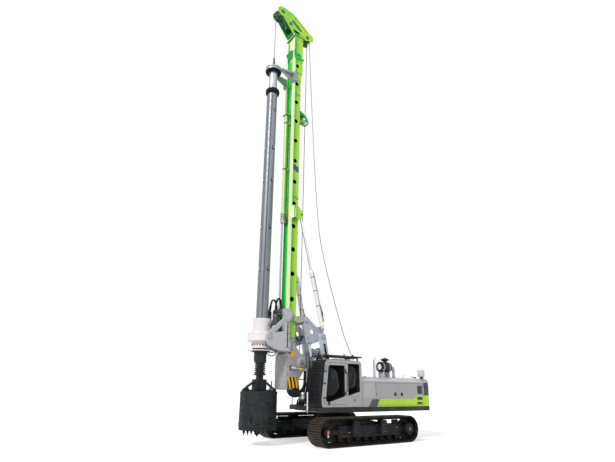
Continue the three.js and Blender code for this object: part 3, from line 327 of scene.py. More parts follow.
def tinted_glass(name):
    look = Look(name, 0.04, gloss=0.2)
    look.shader.inputs["Transmission Weight"].default_value = 0.15
    look.shader.inputs["IOR"].default_value = 1.45
    film = look.remap(look.noise(2.5, 4), 0.45, 0.75, 0.0, 0.3)
    look.colour(look.mix(film, linear("0b0e11"), linear("20262b")))
    return look.material


def hazard(name):
    """Black with slanting yellow bars."""
    look = Look(name, 0.4, coat=0.2)
    lean, start, bars_per_metre = -0.22, 0.02, 6.6
    slanted = look.math("ADD", look.along(), look.times(look.part("Z"), lean))
    phase = look.math("FRACT", look.times(look.math("SUBTRACT", slanted, start), bars_per_metre), 0.5)
    bar = look.below(phase, 0.5)
    black = enamel(look, linear("16171a"))
    look.colour(look.mix(bar, black, enamel(look, linear("f2b705"))))
    look.uneven()
    return look.material


# lime looks with painted light: each pales forward faces as a painted highlight and darkens undersides to
# deep green as painted shade; the mast head's also darkens its inward faces as painted shade
LIME = lime_paint("lime_paint", "5fbd3c", "a8d640", "eef4c4", "16963c")
HEAD_LIME = lime_paint("mast_head_paint", "8fd03c", "a2d63e", "c3e066", "118a3c", inside_of=0.2)
BARREL_LIME = lime_paint("crowd_barrel_paint", "3fae3c", "3fae3c", "e6f0a4", "16963c")
# pale lime of the guide rails: lime lightened as a painted highlight of the light on the front
RAIL_LIME_HIGHLIGHT = paint("bright_lime_paint", "e6f0b4", dust=False, streaks=0.15)
GREEN = paint("deep_green_paint", "1fd64a", dust=False, streaks=0.2, coat=0.0, gloss=0.3)
WHEEL_GREEN = paint("sheave_paint", "1c5c3a", dust=False, rough=0.5)
GREY = paint("grey_paint", "a8a4a4")
CAB_GREY = cab_paint("cab_grey_paint", "a09d9c")
STEEL_BLUE = paint("blue_grey_paint", "a3a8b4")
PALE = paint("pale_grey_paint", "b0b1b6")
PALE_BLUE = paint("pale_blue_grey_paint", "b9c1cd")
ROSE = paint("off_white_paint", "ddd6d5", streaks=0.12)
ROSE_GREY = paint("rosy_grey_paint", "c9bfbd", streaks=0.12)
HOUSING = banded("housing_paint", "9d9999")
BALLAST = banded("ballast_paint", "24262a")
BLACK = paint("black_paint", "1b1d1f", rough=0.5, coat=0.0, gloss=0.3)
SKIRT = paint("skirt_paint", "222528", rough=0.6, coat=0.0, gloss=0.3)
DARK_GREY = paint("dark_grey_paint", "4b4e52", rough=0.5)
WHITE = paint("white_paint", "e6e6e4", streaks=0.08)
NAVY = paint("navy_paint", "1b4460", streaks=0.05)
YELLOW = paint("yellow_paint", "f0b810")
ORANGE = paint("orange_paint", "d9731a")
AMBER = paint("amber_paint", "eba22a")
SOCKET_GREY = paint("rope_socket_paint", "4b5662", rough=0.5)
TEAL = paint("dark_teal_paint", "0b1719", rough=0.75, coat=0.0, dust=False, gloss=0.15)
# grey-green of the kelly guide, darkened to the shade its arms stand in: its own colour with painted shade
GUIDE_SHADE_GREY = paint("guide_grey_paint", "7f908f", rough=0.5)
RUBBER = paint("rubber", "17181a", rough=0.75, coat=0.0, gloss=0.3)
# near-black that paints the shade in holes, slots, notches, gaps and behind grilles, and the burnt blackening
# in the exhaust's mouth
SHADE_AND_SOOT = paint("soot", "070708", rough=0.95, coat=0.0, gloss=0.1)
HAZARD = hazard("hazard_paint")
CHROME = bare_metal("chrome", "c9cdd2", rough=0.16, metal=1.0, streaks=0.15)
SILVER = bare_metal("silver_metal", "b4b6ba", rough=0.34, metal=0.7, streaks=0.25)
KELLY_STEEL = bare_metal("kelly_steel", "7d828a", rough=0.4, metal=0.45, streaks=0.65)
TURNED_STEEL = bare_metal("turned_steel", "8d9094", rough=0.35, metal=0.8, stretch=(6, 0.4, 6))
BUCKET_IRON = worn_iron("bucket_iron", "212426", "3b3833", 0.35, rough=0.62)
TOOTH_IRON = worn_iron("tooth_iron", "1f2021", "453f37", 0.5)
SHOE_STEEL = worn_iron("shoe_steel", "231e1b", "4a3c32", 0.6, rough=0.6, metal=0.4, scale=4)
WORN_TIP = worn_iron("worn_grouser", "6a5c50", "8a7a68", 0.6, rough=0.5, metal=0.5, scale=9)
CHAIN_STEEL = worn_iron("chain_steel", "151311", "2e2620", 0.4)
FRAME_BLACK = worn_iron("frame_black", "101114", "231f1b", 0.4, rough=0.65, metal=0.0)
ROPE = laid_rope("wire_rope")
GLASS = tinted_glass("tinted_glass")
FABRIC = woven("seat_fabric", "2b2d31")

CAD_LOOKS = {
    LIME: ["mast"],
    HEAD_LIME: ["mast_head"],
    BARREL_LIME: ["crowd_cylinder"],
    GREY: ["lower_mast"],
    PALE_BLUE: ["boom", "left_parallel_link", "right_parallel_link"],
    STEEL_BLUE: ["mast_support", "mast_yoke"],
    CAB_GREY: ["cab", "cab_door"],
    HOUSING: [
        "engine_housing", "left_front_housing_door", "left_rear_housing_door",
        "right_front_housing_door", "right_rear_housing_door",
    ],
    BALLAST: ["counterweight"],
    SKIRT: ["turntable"],
    PALE: ["rotary_sledge"],
    GUIDE_SHADE_GREY: ["kelly_guide"],
    FRAME_BLACK: ["car_body", "left_track_frame", "right_track_frame"],
    BLACK: [
        "engine_block", "auxiliary_winch_stand", "roof_guard", "operator_console",
        "left_luffing_cylinder", "right_luffing_cylinder",
    ],
    CHROME: ["left_luffing_rod", "right_luffing_rod", "crowd_rod"],
    TURNED_STEEL: ["auxiliary_winch_drum", "main_winch_drum"],
    ROPE: ["main_rope", "kelly_rope", "auxiliary_rope"],
    GLASS: ["door_glass", "rear_side_glass", "right_side_glass", "windscreen"],
}
FINE_EDGES = {"cab": 0.02, "cab_door": 0.006, "counterweight": 0.02, "operator_console": 0.02,
              "engine_block": 0.02}
NO_EDGES = {"main_rope", "kelly_rope", "auxiliary_rope", "door_glass", "rear_side_glass", "right_side_glass",
            "windscreen"}


def finish_cad(node, look):
    """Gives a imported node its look, with its edges eased and its round faces shaded smooth."""
    item = frame["nodes"][node]
    if item.material_slots:
        for held in item.material_slots:
            held.material = look
    else:
        item.data.materials.append(look)
    if "custom_normal" in item.data.attributes:
        item.data.attributes.remove(item.data.attributes["custom_normal"])
    item.data.polygons.foreach_set("use_smooth", [True] * len(item.data.polygons))
    item.data.set_sharp_from_angle(angle=math.radians(34))
    weld = item.modifiers.new("weld", "WELD")
    weld.merge_threshold = 0.00005
    if node in NO_EDGES:
        return
    flat = item.modifiers.new("flat", "DECIMATE")
    flat.decimate_type = "DISSOLVE"
    flat.angle_limit = math.radians(0.5)
    edge = item.modifiers.new("edge", "BEVEL")
    edge.width = FINE_EDGES.get(node, 0.007)
    edge.segments = 2
    edge.limit_method = "ANGLE"
    edge.angle_limit = math.radians(42)
    edge.harden_normals = True


for look, nodes in CAD_LOOKS.items():
    for node in nodes:
        finish_cad(node, look)


# ---------------------------------------------------------------- shapes


def soften(part, width, segments=1):
    edges = [e for e in part.edges if len(e.link_faces) == 2 and e.calc_face_angle() > 0.6]
    bmesh.ops.bevel(part, geom=edges, offset=width, segments=segments, profile=0.5, affect="EDGES",
                    clamp_overlap=True)


def turn_to(at, way):
    """The matrix that takes +Z at the origin to `way` at `at`."""
    turn = Vector((0, 0, 1)).rotation_difference(Vector(way).normalized())
    return Matrix.Translation(at) @ turn.to_matrix().to_4x4()


def arc(x, y, radius, start, end, steps=10):
    """Points round an arc, the angles in degrees."""
    angles = [math.radians(start + (end - start) * n / steps) for n in range(steps + 1)]
    return [(x + radius * math.cos(a), y + radius * math.sin(a)) for a in angles]


def circle(x, y, radius, steps):
    return arc(x, y, radius, 0, 360, steps)[:-1]


def smooth_path(points, steps):
    """Points along a smooth curve through the given points."""
    points = [Vector(p) for p in points]
    line = [points[0] * 2 - points[1], *points, points[-1] * 2 - points[-2]]
    path = []
    for a, b, c, d in zip(line, line[1:], line[2:], line[3:]):
        for n in range(steps):
            t = n / steps
            square, cube = 2 * a - 5 * b + 4 * c - d, 3 * b - a - 3 * c + d
            path.append(0.5 * (2 * b + (c - a) * t + square * t * t + cube * t ** 3))
    return [*path, points[-1]]


def tube(inner, outer, low, high):
    """The profile of a ring, for turning."""
    return [(inner, low), (outer, low), (outer, high), (inner, high), (inner, low)]


def disc(radius, high, low=0):
    """The profile of a plain disc, for turning."""
    return [(0, low), (radius, low), (radius, high), (0, high)]


def cap(radius, edge, crown, high):
    """The profile of a disc with a straight edge and a narrower crown, for turning."""
    return [(0, 0), (radius, 0), (radius, edge), (crown, high), (0, high)]


def outward(angle):
    """The level way out from an upright axis, at an angle in radians."""
    return Vector((math.cos(angle), math.sin(angle), 0))


def about_kelly(degrees):
    """The turn that takes +X at the origin to a way out from the kelly bar's axis."""
    return Matrix.Translation(K(0, 0, 0)) @ Matrix.Rotation(math.radians(degrees), 4, "Z")


def bars_round(x0, x1, y0, y1, width):
    """The four bars of a frame on a rectangle, each by its two corners."""
    return (
        ((x0, y0), (x1, y0 + width)), ((x0, y1 - width), (x1, y1)),
        ((x0, y0), (x0 + width, y1)), ((x1 - width, y0), (x1, y1)),
    )


PLANES = {
    "xz": lambda a, b, t: (a, t, b),
    "yz": lambda a, b, t: (t, a, b),
    "xy": lambda a, b, t: (a, b, t),
}


class Shape:
    """Collects parts in one or more looks and makes one piece of them."""

    def __init__(self):
        self.bm = bmesh.new()
        self.looks = []

    def take(self, part, look, bevel=0.0, turn=None, segments=1):
        if bevel:
            soften(part, bevel, segments)
        if turn is not None:
            bmesh.ops.transform(part, matrix=turn, verts=part.verts)
        bmesh.ops.recalc_face_normals(part, faces=part.faces)
        if look not in self.looks:
            self.looks.append(look)
        for face in part.faces:
            face.material_index = self.looks.index(look)
        mesh = bpy.data.meshes.new("part")
        part.to_mesh(mesh)
        part.free()
        self.bm.from_mesh(mesh)
        bpy.data.meshes.remove(mesh)

    def box(self, low, high, look, bevel=0.005, turn=None, segments=1):
        low, high = Vector(low), Vector(high)
        low, high = Vector(map(min, low, high)), Vector(map(max, low, high))
        part = bmesh.new()
        place = Matrix.Translation((low + high) / 2) @ Matrix.Diagonal((*(high - low), 1.0))
        bmesh.ops.create_cube(part, size=1.0, matrix=place)
        self.take(part, look, bevel, turn, segments)

    def turned(self, profile, look, at=(0, 0, 0), way=(0, 0, 1), sides=32):
        """A body turned about the line through `at` along `way`, from (radius, height) pairs."""
        part = bmesh.new()
        rings = []
        closed = profile[0] == profile[-1]
        for r, h in profile[:-1] if closed else profile:
            if r < 1e-6:
                rings.append([part.verts.new((0, 0, h))] * sides)
            else:
                angles = [2 * math.pi * n / sides for n in range(sides)]
                rings.append([part.verts.new((r * math.cos(a), r * math.sin(a), h)) for a in angles])
        if closed:
            rings.append(rings[0])
        for a, b in zip(rings, rings[1:]):
            for n in range(sides):
                m = (n + 1) % sides
                corners = list(dict.fromkeys((a[n], a[m], b[m], b[n])))
                if len(corners) > 2:
                    part.faces.new(corners)
        self.take(part, look, turn=turn_to(at, way))

    def rod(self, a, b, radius, look, sides=16, chamfer=0.0):
        a, b = Vector(a), Vector(b)
        length = (b - a).length
        c = min(chamfer, length / 3)
        profile = disc(radius, length)
        if c:
            profile = [(0, 0), (radius - c, 0), (radius, c), (radius, length - c), (radius - c, length),
                       (0, length)]
        self.turned(profile, look, a, b - a, sides)

    def pipe(self, points, radius, look, sides=10, steps=6):
        path = smooth_path(points, steps) if len(points) > 2 else [Vector(p) for p in points]
        part = bmesh.new()
        across = (path[1] - path[0]).normalized().orthogonal().normalized()
        rings = []
        for n, point in enumerate(path):
            way = (path[min(n + 1, len(path) - 1)] - path[max(n - 1, 0)]).normalized()
            across = (across - way * across.dot(way)).normalized()
            other = way.cross(across)
            ring = []
            for k in range(sides):
                a = 2 * math.pi * k / sides
                ring.append(part.verts.new(point + (across * math.cos(a) + other * math.sin(a)) * radius))
            rings.append(ring)
        for a, b in zip(rings, rings[1:]):
            for n in range(sides):
                m = (n + 1) % sides
                part.faces.new((a[n], a[m], b[m], b[n]))
        part.faces.new(rings[0])
        part.faces.new(rings[-1])
        self.take(part, look)

    def plate(self, outline, plane, low, high, look, holes=(), bevel=0.004, turn=None):
        """A flat plate, its outline drawn in the plane named, from low to high on the third axis."""
        loops = [outline, *holes]
        place = PLANES[plane]
        part = bmesh.new()
        near = [part.verts.new(place(a, b, low)) for loop in loops for a, b in loop]
        far = [part.verts.new(place(a, b, high)) for loop in loops for a, b in loop]
        for i, j, k in tessellate_polygon([[Vector((a, b, 0)) for a, b in loop] for loop in loops]):
            part.faces.new((near[i], near[j], near[k]))
            part.faces.new((far[k], far[j], far[i]))
        start = 0
        for loop in loops:
            for n in range(len(loop)):
                i, j = start + n, start + (n + 1) % len(loop)
                part.faces.new((near[i], near[j], far[j], far[i]))
            start += len(loop)
        bmesh.ops.recalc_face_normals(part, faces=part.faces)
        bmesh.ops.dissolve_limit(part, angle_limit=0.02, verts=part.verts, edges=part.edges)
        self.take(part, look, bevel, turn)

    def side_bolts(self, side, y, spots, size, look=CHAIN_STEEL):
        """Single bolts on a side face, each at its (x, z)."""
        for x, z in spots:
            self.bolt(P(x, y, z), (0, side, 0), size, look)

    def bolts(self, centre, way, radius, count, size, look=CHAIN_STEEL, first=0.0):
        """A circle of hexagon heads on washers."""
        place = turn_to(centre, way)
        for n in range(count):
            angle = 2 * math.pi * n / count + first
            spot = place @ (outward(angle) * radius)
            self.bolt(spot, way, size, look)

    def bolt(self, spot, way, size, look=CHAIN_STEEL):
        self.turned(disc(size * 1.35, size * 0.25), look, spot, way, 8)
        self.turned(cap(size, size, size * 0.8, size * 1.15), look, spot, way, 6)

    def finish(self, name, body, stands_for=(), slot=None):
        mesh = bpy.data.meshes.new(name)
        self.bm.to_mesh(mesh)
        self.bm.free()
        for look in self.looks:
            mesh.materials.append(look)
        mesh.polygons.foreach_set("use_smooth", [True] * len(mesh.polygons))
        mesh.set_sharp_from_angle(angle=math.radians(34))
        piece = bpy.data.objects.new(name, mesh)
        bpy.context.scene.collection.objects.link(piece)
        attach(piece, body)
        if stands_for:
            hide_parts(*stands_for)
        return piece


def X(points):
    """An outline given from the slewing axis, in the part's own frame."""
    return [(AXIS_X + x, z) for x, z in points]


# ---------------------------------------------------------------- camera, light and floor


def make_camera():
    yaw, pitch, roll = (math.radians(v) for v in (234.549, 19.498, 0.76))
    ahead = Vector((math.cos(yaw) * math.cos(pitch), math.sin(yaw) * math.cos(pitch), math.sin(pitch)))
    level = Vector((math.sin(yaw), -math.cos(yaw), 0))
    above = level.cross(ahead)
    right = level * math.cos(roll) + above * math.sin(roll)
    up = above * math.cos(roll) - level * math.sin(roll)
    data = bpy.data.cameras.new("camera")
    data.sensor_width = 36.0
    data.lens = 25.342
    data.shift_x = 0.0027
    data.shift_y = 0.0071
    data.clip_end = 500.0
    camera = bpy.data.objects.new("camera", data)
    turn = Matrix((right, up, -ahead)).transposed().to_4x4()
    camera.matrix_world = Matrix.Translation(P(11.5323, 14.0297, 1.8133)) @ turn
    bpy.context.scene.collection.objects.link(camera)
    bpy.context.scene.camera = camera


def white_behind(tree, plain):
    """Mixes in plain white where the camera, a reflection or glass looks."""
    path = tree.nodes.new("ShaderNodeLightPath")
    seen = tree.nodes.new("ShaderNodeMath")
    seen.operation = "ADD"
    seen.use_clamp = True
    tree.links.new(path.outputs["Is Camera Ray"], seen.inputs[0])
    tree.links.new(path.outputs["Is Transmission Ray"], seen.inputs[1])
    both = tree.nodes.new("ShaderNodeMath")
    both.operation = "MAXIMUM"
    tree.links.new(seen.outputs[0], both.inputs[0])
    tree.links.new(path.outputs["Is Glossy Ray"], both.inputs[1])
    mix = tree.nodes.new("ShaderNodeMixShader")
    tree.links.new(both.outputs[0], mix.inputs[0])
    tree.links.new(plain, mix.inputs[1])
    return mix


def make_world():
    world = bpy.data.worlds.new("sky")
    bpy.context.scene.world = world
    world.use_nodes = True
    tree = world.node_tree
    plain = tree.nodes["Background"]
    plain.inputs["Color"].default_value = (0.93, 0.96, 1.0, 1.0)
    plain.inputs["Strength"].default_value = 0.62
    white = tree.nodes.new("ShaderNodeBackground")
    white.inputs["Color"].default_value = (1, 1, 1, 1)
    white.inputs["Strength"].default_value = 1.0
    mix = white_behind(tree, plain.outputs[0])
    tree.links.new(white.outputs[0], mix.inputs[2])
    tree.links.new(mix.outputs[0], tree.nodes["World Output"].inputs["Surface"])


def make_sun(name, towards, strength, softness, colour=(1, 1, 1)):
    data = bpy.data.lights.new(name, "SUN")
    data.energy = strength
    data.angle = math.radians(softness)
    data.color = colour
    sun = bpy.data.objects.new(name, data)
    sun.rotation_euler = Vector(towards).to_track_quat("-Z", "Y").to_euler()
    bpy.context.scene.collection.objects.link(sun)


def make_floor():
    bpy.ops.mesh.primitive_plane_add(size=900, location=(0, 0, -0.001))
    floor = bpy.context.object
    floor.name = "floor"
    material = bpy.data.materials.new("floor")
    material.use_nodes = True
    tree = material.node_tree
    matt = tree.nodes["Principled BSDF"]
    matt.inputs["Base Color"].default_value = (0.8, 0.8, 0.8, 1)
    matt.inputs["Roughness"].default_value = 1.0
    matt.inputs["Specular IOR Level"].default_value = 0.0
    glow = tree.nodes.new("ShaderNodeEmission")
    glow.inputs["Color"].default_value = (1, 1, 1, 1)
    glow.inputs["Strength"].default_value = 0.45
    both = tree.nodes.new("ShaderNodeAddShader")
    tree.links.new(matt.outputs[0], both.inputs[0])
    tree.links.new(glow.outputs[0], both.inputs[1])
    mix = white_behind(tree, matt.outputs[0])
    tree.links.new(both.outputs[0], mix.inputs[2])
    tree.links.new(mix.outputs[0], tree.nodes["Material Output"].inputs["Surface"])
    floor.data.materials.append(material)


make_camera()
make_world()
make_floor()
make_sun("key", (-0.78, -0.24, -0.58), 2.1, 12, (1.0, 0.98, 0.95))
make_sun("fill", (-0.1, -0.85, -0.35), 0.5, 40)
bpy.context.scene.view_settings.view_transform = "Standard"

# ---------------------------------------------------------------- tracks


def on_track(track, along, radius):
    """Where a shoe sits on the loop: its point, its way along the loop and its way out."""
    straight, bend = 2 * track["x"], math.pi * track["r"]
    s = along % (2 * (straight + bend))
    if s < straight:
        return Vector((-track["x"] + s, 0, -radius)), Vector((1, 0, 0)), Vector((0, 0, -1))
    if s < straight + bend:
        turn, centre = (s - straight) / track["r"] - math.pi / 2, track["x"]
    elif s < 2 * straight + bend:
        return Vector((track["x"] - (s - straight - bend), 0, radius)), Vector((-1, 0, 0)), Vector((0, 0, 1))
    else:
        turn, centre = (s - 2 * straight - bend) / track["r"] + math.pi / 2, -track["x"]
    out = Vector((math.cos(turn), 0, math.sin(turn)))
    return Vector((centre, 0, 0)) + out * radius, Vector((-out.z, 0, out.x)), out


def shoe_and_link(shape, width):
    shoe = [
        (-0.104, -0.022), (0.104, -0.022), (0.104, -0.003), (0.083, 0.0), (0.077, 0.016), (0.065, 0.016),
        (0.059, 0.0),
        (0.014, 0.0), (0.008, 0.014), (-0.006, 0.014), (-0.012, 0.0), (-0.057, 0.0), (-0.063, 0.016),
        (-0.075, 0.016),
        (-0.081, 0.0), (-0.104, -0.003),
    ]
    link = [
        (-0.122, -0.07), (-0.1, -0.1), (-0.05, -0.106), (0.05, -0.106), (0.1, -0.1), (0.122, -0.07),
        (0.1, -0.022),
        (-0.1, -0.022),
    ]
    shape.plate(shoe, "xz", -width / 2, width / 2, SHOE_STEEL, bevel=0)
    for x in (0.071, 0.001, -0.069):
        tip = 0.016 if x else 0.014
        shape.box((x - 0.005, -width / 2 + 0.004, tip - 0.002), (x + 0.005, width / 2 - 0.004, tip + 0.0015),
                  WORN_TIP, 0)
    for inner in (0.055, -0.09):
        shape.plate(link, "xz", inner, inner + 0.035, CHAIN_STEEL, bevel=0)
    shape.rod((0.108, -0.1, -0.066), (0.108, 0.1, -0.066), 0.022, CHAIN_STEEL, 8)
    for t in (0.035, -0.035):
        for y in (0.072, -0.072):
            shape.turned(disc(0.017, 0.012), CHAIN_STEEL, (t, y, 0), (0, 0, 1), 6)


def make_track(name):
    low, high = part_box(f"{name}_track")
    height = high.z - low.z
    shoe_depth = 0.0225
    track = {"x": (high.x - low.x - height) / 2, "r": height / 2 - shoe_depth}
    centre = Vector(((low.x + high.x) / 2, (low.y + high.y) / 2, height / 2))
    pitch = (4 * track["x"] + 2 * math.pi * track["r"]) / SHOES
    one = Shape()
    shoe_and_link(one, high.y - low.y)
    loop = Shape()
    loop.looks = one.looks
    mesh = bpy.data.meshes.new("shoe")
    one.bm.to_mesh(mesh)
    one.bm.free()
    for n in range(SHOES):
        point, way, out = on_track(track, (n + 0.5) * pitch, track["r"])
        copy = mesh.copy()
        copy.transform(Matrix.Translation(centre + point) @ Matrix((way, Vector((0, 1, 0)),
                                                                    out)).transposed().to_4x4())
        loop.bm.from_mesh(copy)
        bpy.data.meshes.remove(copy)
    bpy.data.meshes.remove(mesh)
    bmesh.ops.recalc_face_normals(loop.bm, faces=loop.bm.faces)
    loop.finish(f"{name}_track_shoes", f"{name}_crawler", [f"{name}_track"], "track_steel")
    return centre, track["x"]


def make_running_gear(name, side, centre, wheel_x):
    gear = Shape()
    out = (0, side, 0)
    hub = centre + Vector((-wheel_x, side * 0.325, 0))
    gear.turned([(0, -0.2), (0.2, -0.2), (0.2, 0), (0.175, 0.01), (0, 0.01)], FRAME_BLACK, hub, out, 36)
    gear.bolts(hub + Vector((0, side * 0.01, 0)), out, 0.145, 12, 0.012)
    gear.turned([(0, 0), (0.06, 0), (0.055, 0.012), (0, 0.012)], DARK_GREY,
                hub + Vector((0, side * 0.005, 0)), out, 24)
    idler = centre + Vector((wheel_x, side * 0.135, 0))
    gear.turned([(0, -0.02), (0.16, -0.02), (0.14, 0.04), (0.07, 0.055), (0, 0.055)], FRAME_BLACK, idler, out,
                28)
    gear.bolts(idler + Vector((0, side * 0.045, 0)), out, 0.11, 8, 0.01)
    for n in range(8):
        x = AXIS_X - 1.33 + n * 0.38
        spot = Vector((x, centre.y + side * 0.122, 0.2025))
        gear.turned(cap(0.088, 0.02, 0.06, 0.035), CHAIN_STEEL, spot, out, 20)
        gear.box((x - 0.06, spot.y - 0.01, 0.235), (x + 0.06, spot.y + 0.028, 0.29), FRAME_BLACK)
        gear.bolt((x - 0.035, spot.y + side * 0.028, 0.262), out, 0.01)
        gear.bolt((x + 0.035, spot.y + side * 0.028, 0.262), out, 0.01)
    for x in (-0.7, 0.7):
        spot = P(x, centre.y + side * 0.092, 0.7355)
        gear.turned([(0, 0), (0.07, 0), (0.065, 0.02), (0, 0.025)], CHAIN_STEEL, spot, out, 20)
    guard = [(-1.86, 0.3), (-1.72, 0.16), (-1.55, 0.125), (1.55, 0.125), (1.72, 0.16), (1.86, 0.3),
             (1.7, 0.42), (-1.7, 0.42)]
    gear.plate(X(guard), "xz", centre.y - 0.035, centre.y + 0.035, FRAME_BLACK, bevel=0.008)
    for x0, x1 in ((-1.6, -1.28), (-1.0, -0.78), (-0.34, 1.6)):
        gear.box(P(x0, centre.y - 0.03, 0.6), P(x1, centre.y + 0.03, 0.77), FRAME_BLACK, 0.01)
    face = centre.y + side * 0.17
    for x0, x1 in ((-1.44, -0.84), (-0.3, 0.5), (1.0, 1.4)):
        gear.box(P(x0, face, 0.34), P(x1, face + side * 0.014, 0.6), FRAME_BLACK, 0.004)
        for x in (x0 + 0.05, x1 - 0.05):
            for z in (0.375, 0.565):
                gear.bolt(P(x, face + side * 0.014, z), out, 0.011)
    step_face = side * 2.028
    for x in (0.745, -0.575):
        for z in (0.42, 0.52, 0.62):
            gear.box(P(x - 0.1, step_face, z - 0.012), P(x + 0.1, step_face + side * 0.008, z + 0.012), SKIRT,
                     0.002)
        gear.box(P(x - 0.12, step_face - side * 0.3, 0.77), P(x + 0.12, step_face - side * 0.01, 0.782),
                 SKIRT, 0.003)
    for x, z, size in ((0.97, 0.43, 0.028), (-1.33, 0.52, 0.025)):
        gear.box(P(x - size, face + side * 0.014, z - size * 0.7),
                 P(x + size, face + side * 0.05, z + size * 0.7), ORANGE, 0.008)
    gear.box(idler + Vector((-0.05, side * 0.05, -0.05)), idler + Vector((0.045, side * 0.085, 0.06)), ORANGE,
             0.012)
    gear.box(idler + Vector((-0.035, side * 0.05, -0.15)), idler + Vector((0.03, side * 0.075, -0.06)), ROSE,
             0.008)
    for z in (0.33, 0.61):
        gear.pipe([P(1.35, face + side * 0.03, z), P(0.9, face + side * 0.035, z),
                   P(0.6, face + side * 0.03, z)], 0.012, RUBBER, 8)
    gear.turned([(0.25, -0.03), (0.315, -0.03), (0.325, 0), (0.315, 0.03), (0.25, 0.03), (0.25, -0.03)],
                CHAIN_STEEL, centre + Vector((wheel_x, 0, 0)), out, 36)
    gear.finish(f"{name}_running_gear", f"{name}_crawler", slot="track_steel")


for name, side in SIDES.items():
    centre, wheel_x = make_track(name)
    make_running_gear(name, side, centre, wheel_x)


def make_under_frame():
    under = Shape()
    half_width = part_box("car_body")[1].y
    for x in (-0.9, 0.9):
        for side in (1, -1):
            edge = side * half_width
            under.box(P(x - 0.22, edge - side * 0.05, 0.362), P(x + 0.22, edge - side * 0.01, 0.392),
                      FRAME_BLACK)
            under.box(P(x - 0.22, edge - side * 0.05, 0.728), P(x + 0.22, edge - side * 0.01, 0.758),
                      FRAME_BLACK)
            for dx in (-0.17, -0.06, 0.06, 0.17):
                under.bolt(P(x + dx, edge - side * 0.03, 0.758), (0, 0, 1), 0.014)
    under.bolts(P(0, 0, 0.861), (0, 0, 1), 0.645, 36, 0.013)
    under.turned(tube(0.60, 0.69, 0.865, 0.9), FRAME_BLACK, P(0, 0, 0), sides=64)
    under.finish("under_frame_fittings", "undercarriage", slot="dark_paint")


make_under_frame()

# ---------------------------------------------------------------- deck, housing and counterweight

LEFT_DOORS = {"front": (-1.916, -0.732), "rear": (-3.388, -1.924)}


def make_door(name, side, end):
    rear, front = LEFT_DOORS[end]
    door = Shape()
    face = side * HOUSING_FACE
    out = (0, side, 0)
    hinge_x = front if end == "front" else rear
    latch_x = -1.75 if end == "front" else -2.11
    for z in (1.36, 1.66, 1.98):
        door.rod(P(hinge_x, face, z - 0.05), P(hinge_x, face, z + 0.05), 0.011, DARK_GREY, 10)
    spot = P(latch_x, face, 1.655)
    door.turned(cap(0.078, 0.004, 0.066, 0.008), BLACK, spot, out, 36)
    door.turned([(0.074, 0), (0.086, 0), (0.084, 0.003), (0.074, 0.003), (0.074, 0)], ROSE, spot, out, 36)
    door.box(spot + Vector((-0.012, side * 0.008, -0.03)), spot + Vector((0.012, side * 0.018, 0.03)),
             DARK_GREY, 0.004)
    inner = side * 1.483
    door.box(P(rear + 0.03, inner, 1.30), P(front - 0.03, inner - side * 0.012, 2.01), RUBBER, 0.008)
    for x in (rear + 0.05, (rear + front) / 2, front - 0.05):
        door.box(P(x - 0.02, inner - side * 0.012, 1.29), P(x + 0.02, inner - side * 0.02, 2.02), DARK_GREY,
                 0.003)
    if end == "rear":
        # louvred vents, each over a near-black sheet that paints the shade behind its slats
        for x0, x1, z0, z1 in ((-3.32, -3.04, 1.67, 1.98), (-3.32, -3.01, 1.44, 1.56),
                               (-3.29, -2.99, 1.28, 1.37)):
            door.box(P(x0, face - side * 0.001, z0), P(x1, face + side * 0.002, z1), SHADE_AND_SOOT, 0)
            for a, b in bars_round(x0, x1, z0, z1, 0.012):
                door.box(P(a[0], face, a[1]), P(b[0], face + side * 0.008, b[1]), DARK_GREY, 0.002)
            count = max(2, round((z1 - z0) / 0.034))
            for n in range(count):
                z = z0 + (n + 0.5) * (z1 - z0) / count
                slat = [(face - side * 0.001, z + 0.014), (face + side * 0.011, z - 0.004),
                        (face + side * 0.011, z - 0.008), (face - side * 0.001, z + 0.008)]
                door.plate(slat, "yz", AXIS_X + x0, AXIS_X + x1, DARK_GREY, bevel=0)
    door.finish(f"{name}_{end}_door_fittings", f"{name}_{end}_housing_door", slot="grey_paint")


for name, side in SIDES.items():
    for end in LEFT_DOORS:
        make_door(name, side, end)


def grille(shape, x0, x1, y0, y1, z, pitch=0.045):
    """A raised frame with slats, lying on a flat top, over a near-black sheet that paints the shade beneath
    them.
    """
    shape.box(P(x0, y0, z), P(x1, y1, z + 0.004), SHADE_AND_SOOT, 0)
    for a, b in bars_round(x0, x1, y0, y1, 0.03):
        shape.box(P(a[0], a[1], z), P(b[0], b[1], z + 0.022), DARK_GREY, 0.004)
    count = int((x1 - x0) / pitch)
    for n in range(1, count):
        x = x0 + n * (x1 - x0) / count
        shape.box(P(x - 0.005, y0, z), P(x + 0.005, y1, z + 0.018), DARK_GREY, 0)


